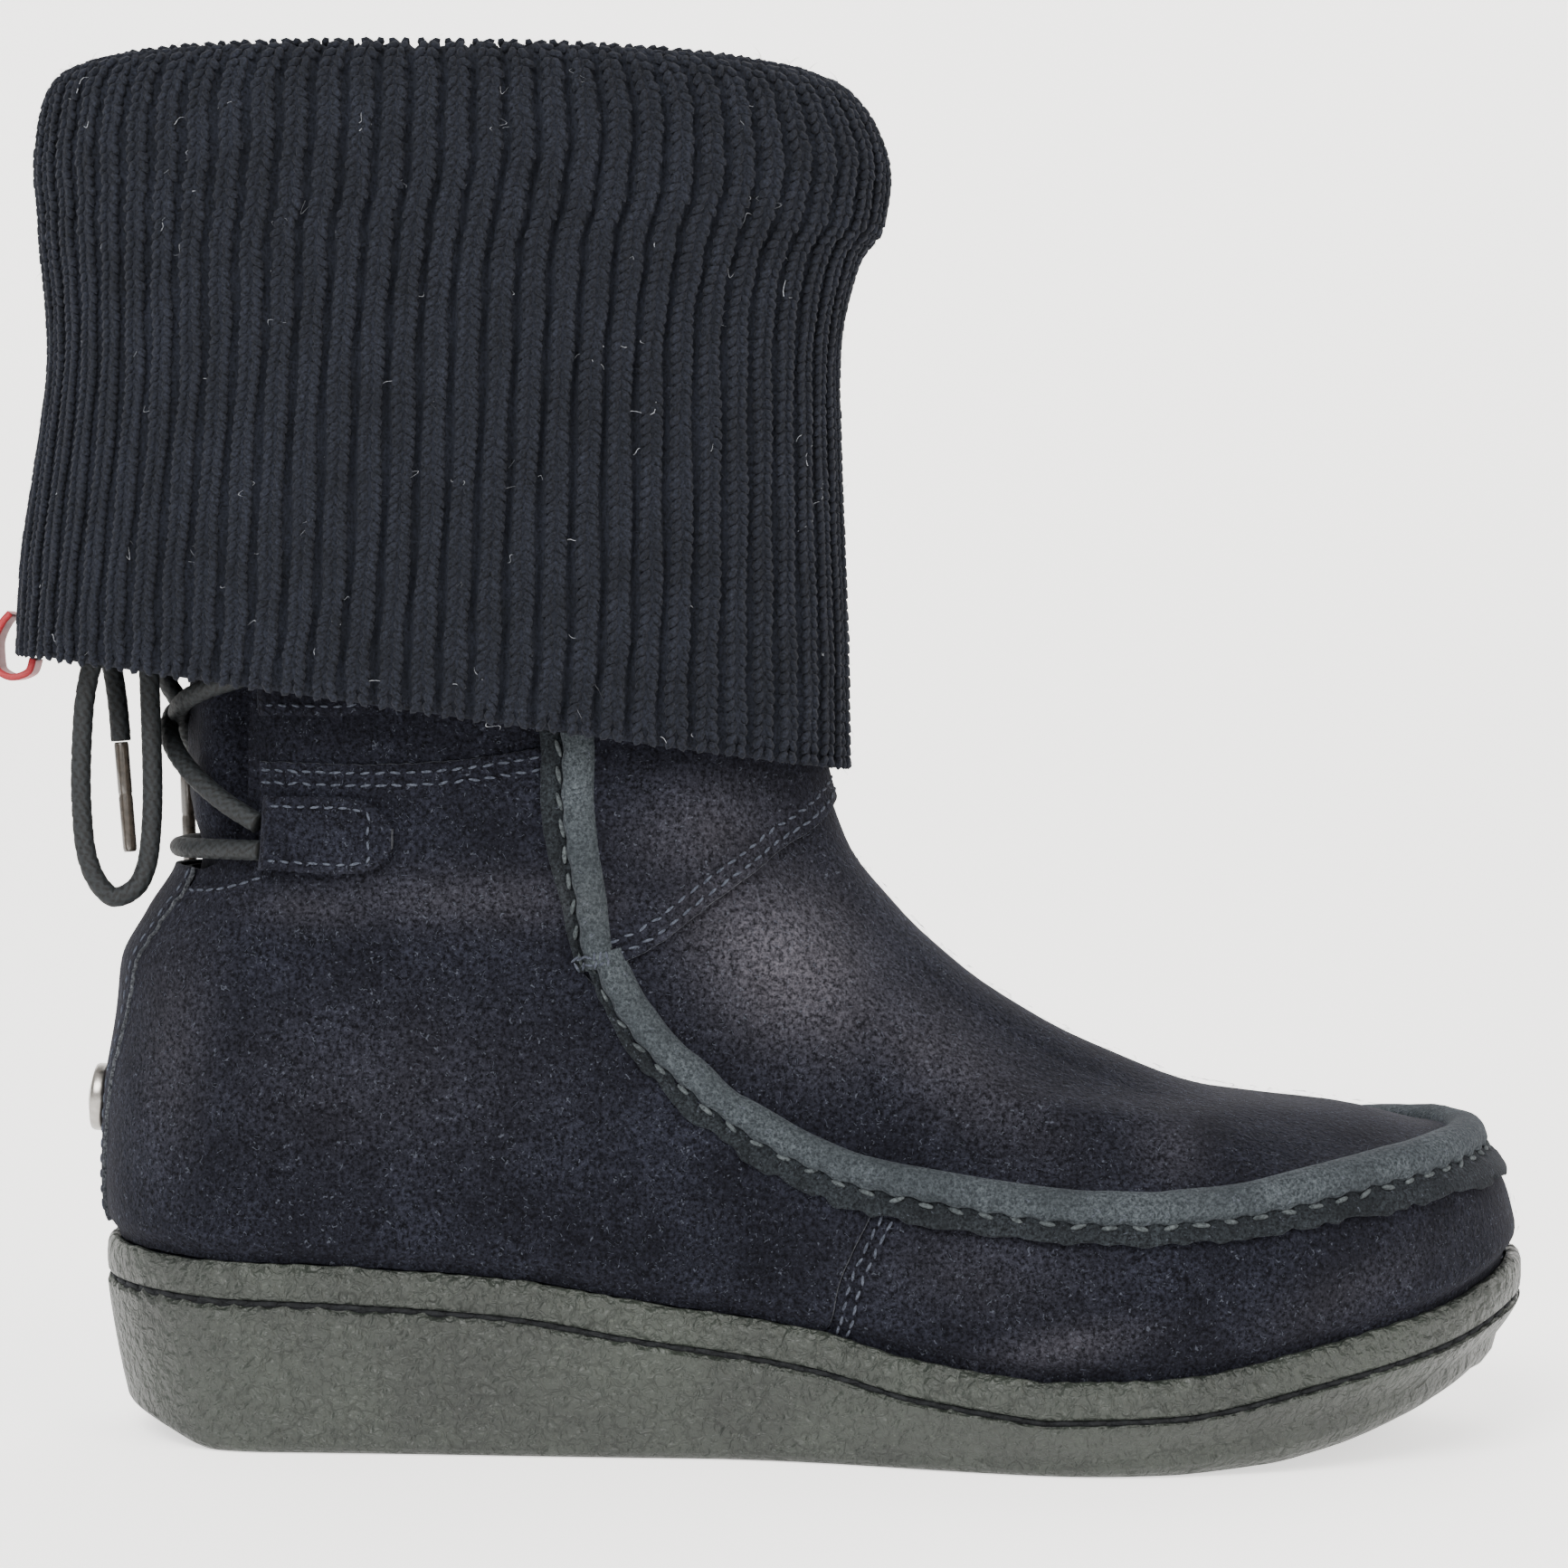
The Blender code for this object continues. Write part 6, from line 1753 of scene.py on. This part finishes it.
def lace_path(places):
    """Path of a lace over the throat from places of angle, height share and lift."""
    route = np.array([(angle, skin_rows(angle, [up])[0], lift) for angle, up, lift in places])
    fine = smooth(np.arange(len(route)), route, np.linspace(0, len(route) - 1, 14))
    return skin(fine[:, 0], fine[:, 1], fine[:, 2], creased=False)


def make_sewn_laces():
    """Lace over the throat: a bar, two crossings, and two runs up to the knot."""
    rear = share_place(TAB_PLACES[0][1] - TAB_LENGTH / 2 / SOLE_LENGTH, TAB_PLACES[0][2])[0]
    edge = rear + 0.03
    over = LACE / 2 + 2 * GAP
    lower, upper = TAB_PLACES[0][2], TAB_PLACES[1][2]
    sink = LACE * 0.12 + 0.7 * MM
    high = LACE * 0.12 + 2.8 * MM
    far = 2 * pi - edge
    routes = {
        "lace_bar": ((edge - 0.02, lower - 0.018, over), (pi, lower - 0.020, sink),
                     (far + 0.02, lower - 0.018, over)),
        "lace_crossings": ((edge - 0.02, lower + 0.012, over), (pi, 0.790, high + 0.9 * MM),
                           (far + 0.02, upper, over)),
        "lace_second_crossing": ((edge - 0.02, upper, over), (pi, 0.790, high - 0.9 * MM),
                                 (far + 0.02, lower + 0.012, over)),
    }
    for name, places in routes.items():
        nodes = () if name == "lace_second_crossing" else (name,)
        piece, _ = braided(name.replace("lace_", "sewn_lace_"), lace_path(places), LACE, LACE_BRAID)
        dress(piece, "lace", *nodes)
    for word, side in (("lateral", -1), ("medial", 1)):
        reach = pi - edge
        path = lace_path(((pi + side * reach, upper + 0.027, over),
                          (pi + side * reach * 0.6, upper + 0.050, LACE * 0.40),
                          (pi + side * reach * 0.3, upper + 0.072, LACE * 0.60)))
        tie_end = (TIE_END[0], KNOT_CENTRE[1] + side * TIE_END[1], TIE_END[2])
        piece, _ = braided(f"sewn_lace_tie_{word}", np.vstack([path, [tie_end]]), LACE, LACE_BRAID)
        dress(piece, "lace", f"lace_tie_{word}")


make_cuff()
make_hairs()
make_nap()
make_pull_tape()
make_sewn_laces()


# Studio: a pale sweep that glows with painted light, and soft light


def make_studio():
    shape = bmesh.new()
    run = ((-1.2, 0.0), (-0.4, 0.0), (0.3, 0.0), (0.6, 0.0), (0.9, 0.0), (1.15, 0.06), (1.32, 0.22),
           (1.40, 0.50), (1.40, 1.6))
    verts = [shape.verts.new((-2.0, y, z)) for y, z in run]
    edges = [shape.edges.new(pair) for pair in zip(verts, verts[1:])]
    moved = bmesh.ops.extrude_edge_only(shape, edges=edges)["geom"]
    bmesh.ops.translate(shape, verts=[v for v in moved if isinstance(v, bmesh.types.BMVert)],
                        vec=(4.0, 0, 0))
    bmesh.ops.recalc_face_normals(shape, faces=shape.faces)
    mesh = mesh_of(shape, "studio_sweep")
    sweep = add_mesh("studio_sweep", mesh, SWEEP)
    soft = sweep.modifiers.new("soft", "SUBSURF")
    soft.levels = soft.render_levels = 3

    world = bpy.data.worlds.new("studio")
    bpy.context.scene.world = world
    world.use_nodes = True
    back = world.node_tree.nodes["Background"]
    back.inputs["Color"].default_value = colour("#f4f2ef")
    back.inputs["Strength"].default_value = 1.05
    for name, spot, size, power, tint in (
            ("key", (-0.5, -1.2, 1.15), 1.0, 46, "#fffefc"),
            ("fill", (1.1, -1.0, 0.7), 1.2, 20, "#fff8f0"),
            ("rim", (0.3, 0.8, 1.5), 0.9, 6, "#fbfcff")):
        data = bpy.data.lights.new(name, "AREA")
        data.shape = "DISK"
        data.size = size
        data.energy = power
        data.color = colour(tint)[:3]
        lamp = bpy.data.objects.new(name, data)
        spot = np.array(spot)
        aim = unit(np.array((-0.01, 0.0, 0.12)) - spot)
        side = unit(np.cross(aim, (0, 0, 1)))
        lamp.matrix_world = (Matrix.Translation(spot)
                             @ Matrix((side, np.cross(side, aim), -aim)).transposed().to_4x4())
        bpy.context.scene.collection.objects.link(lamp)


make_studio()
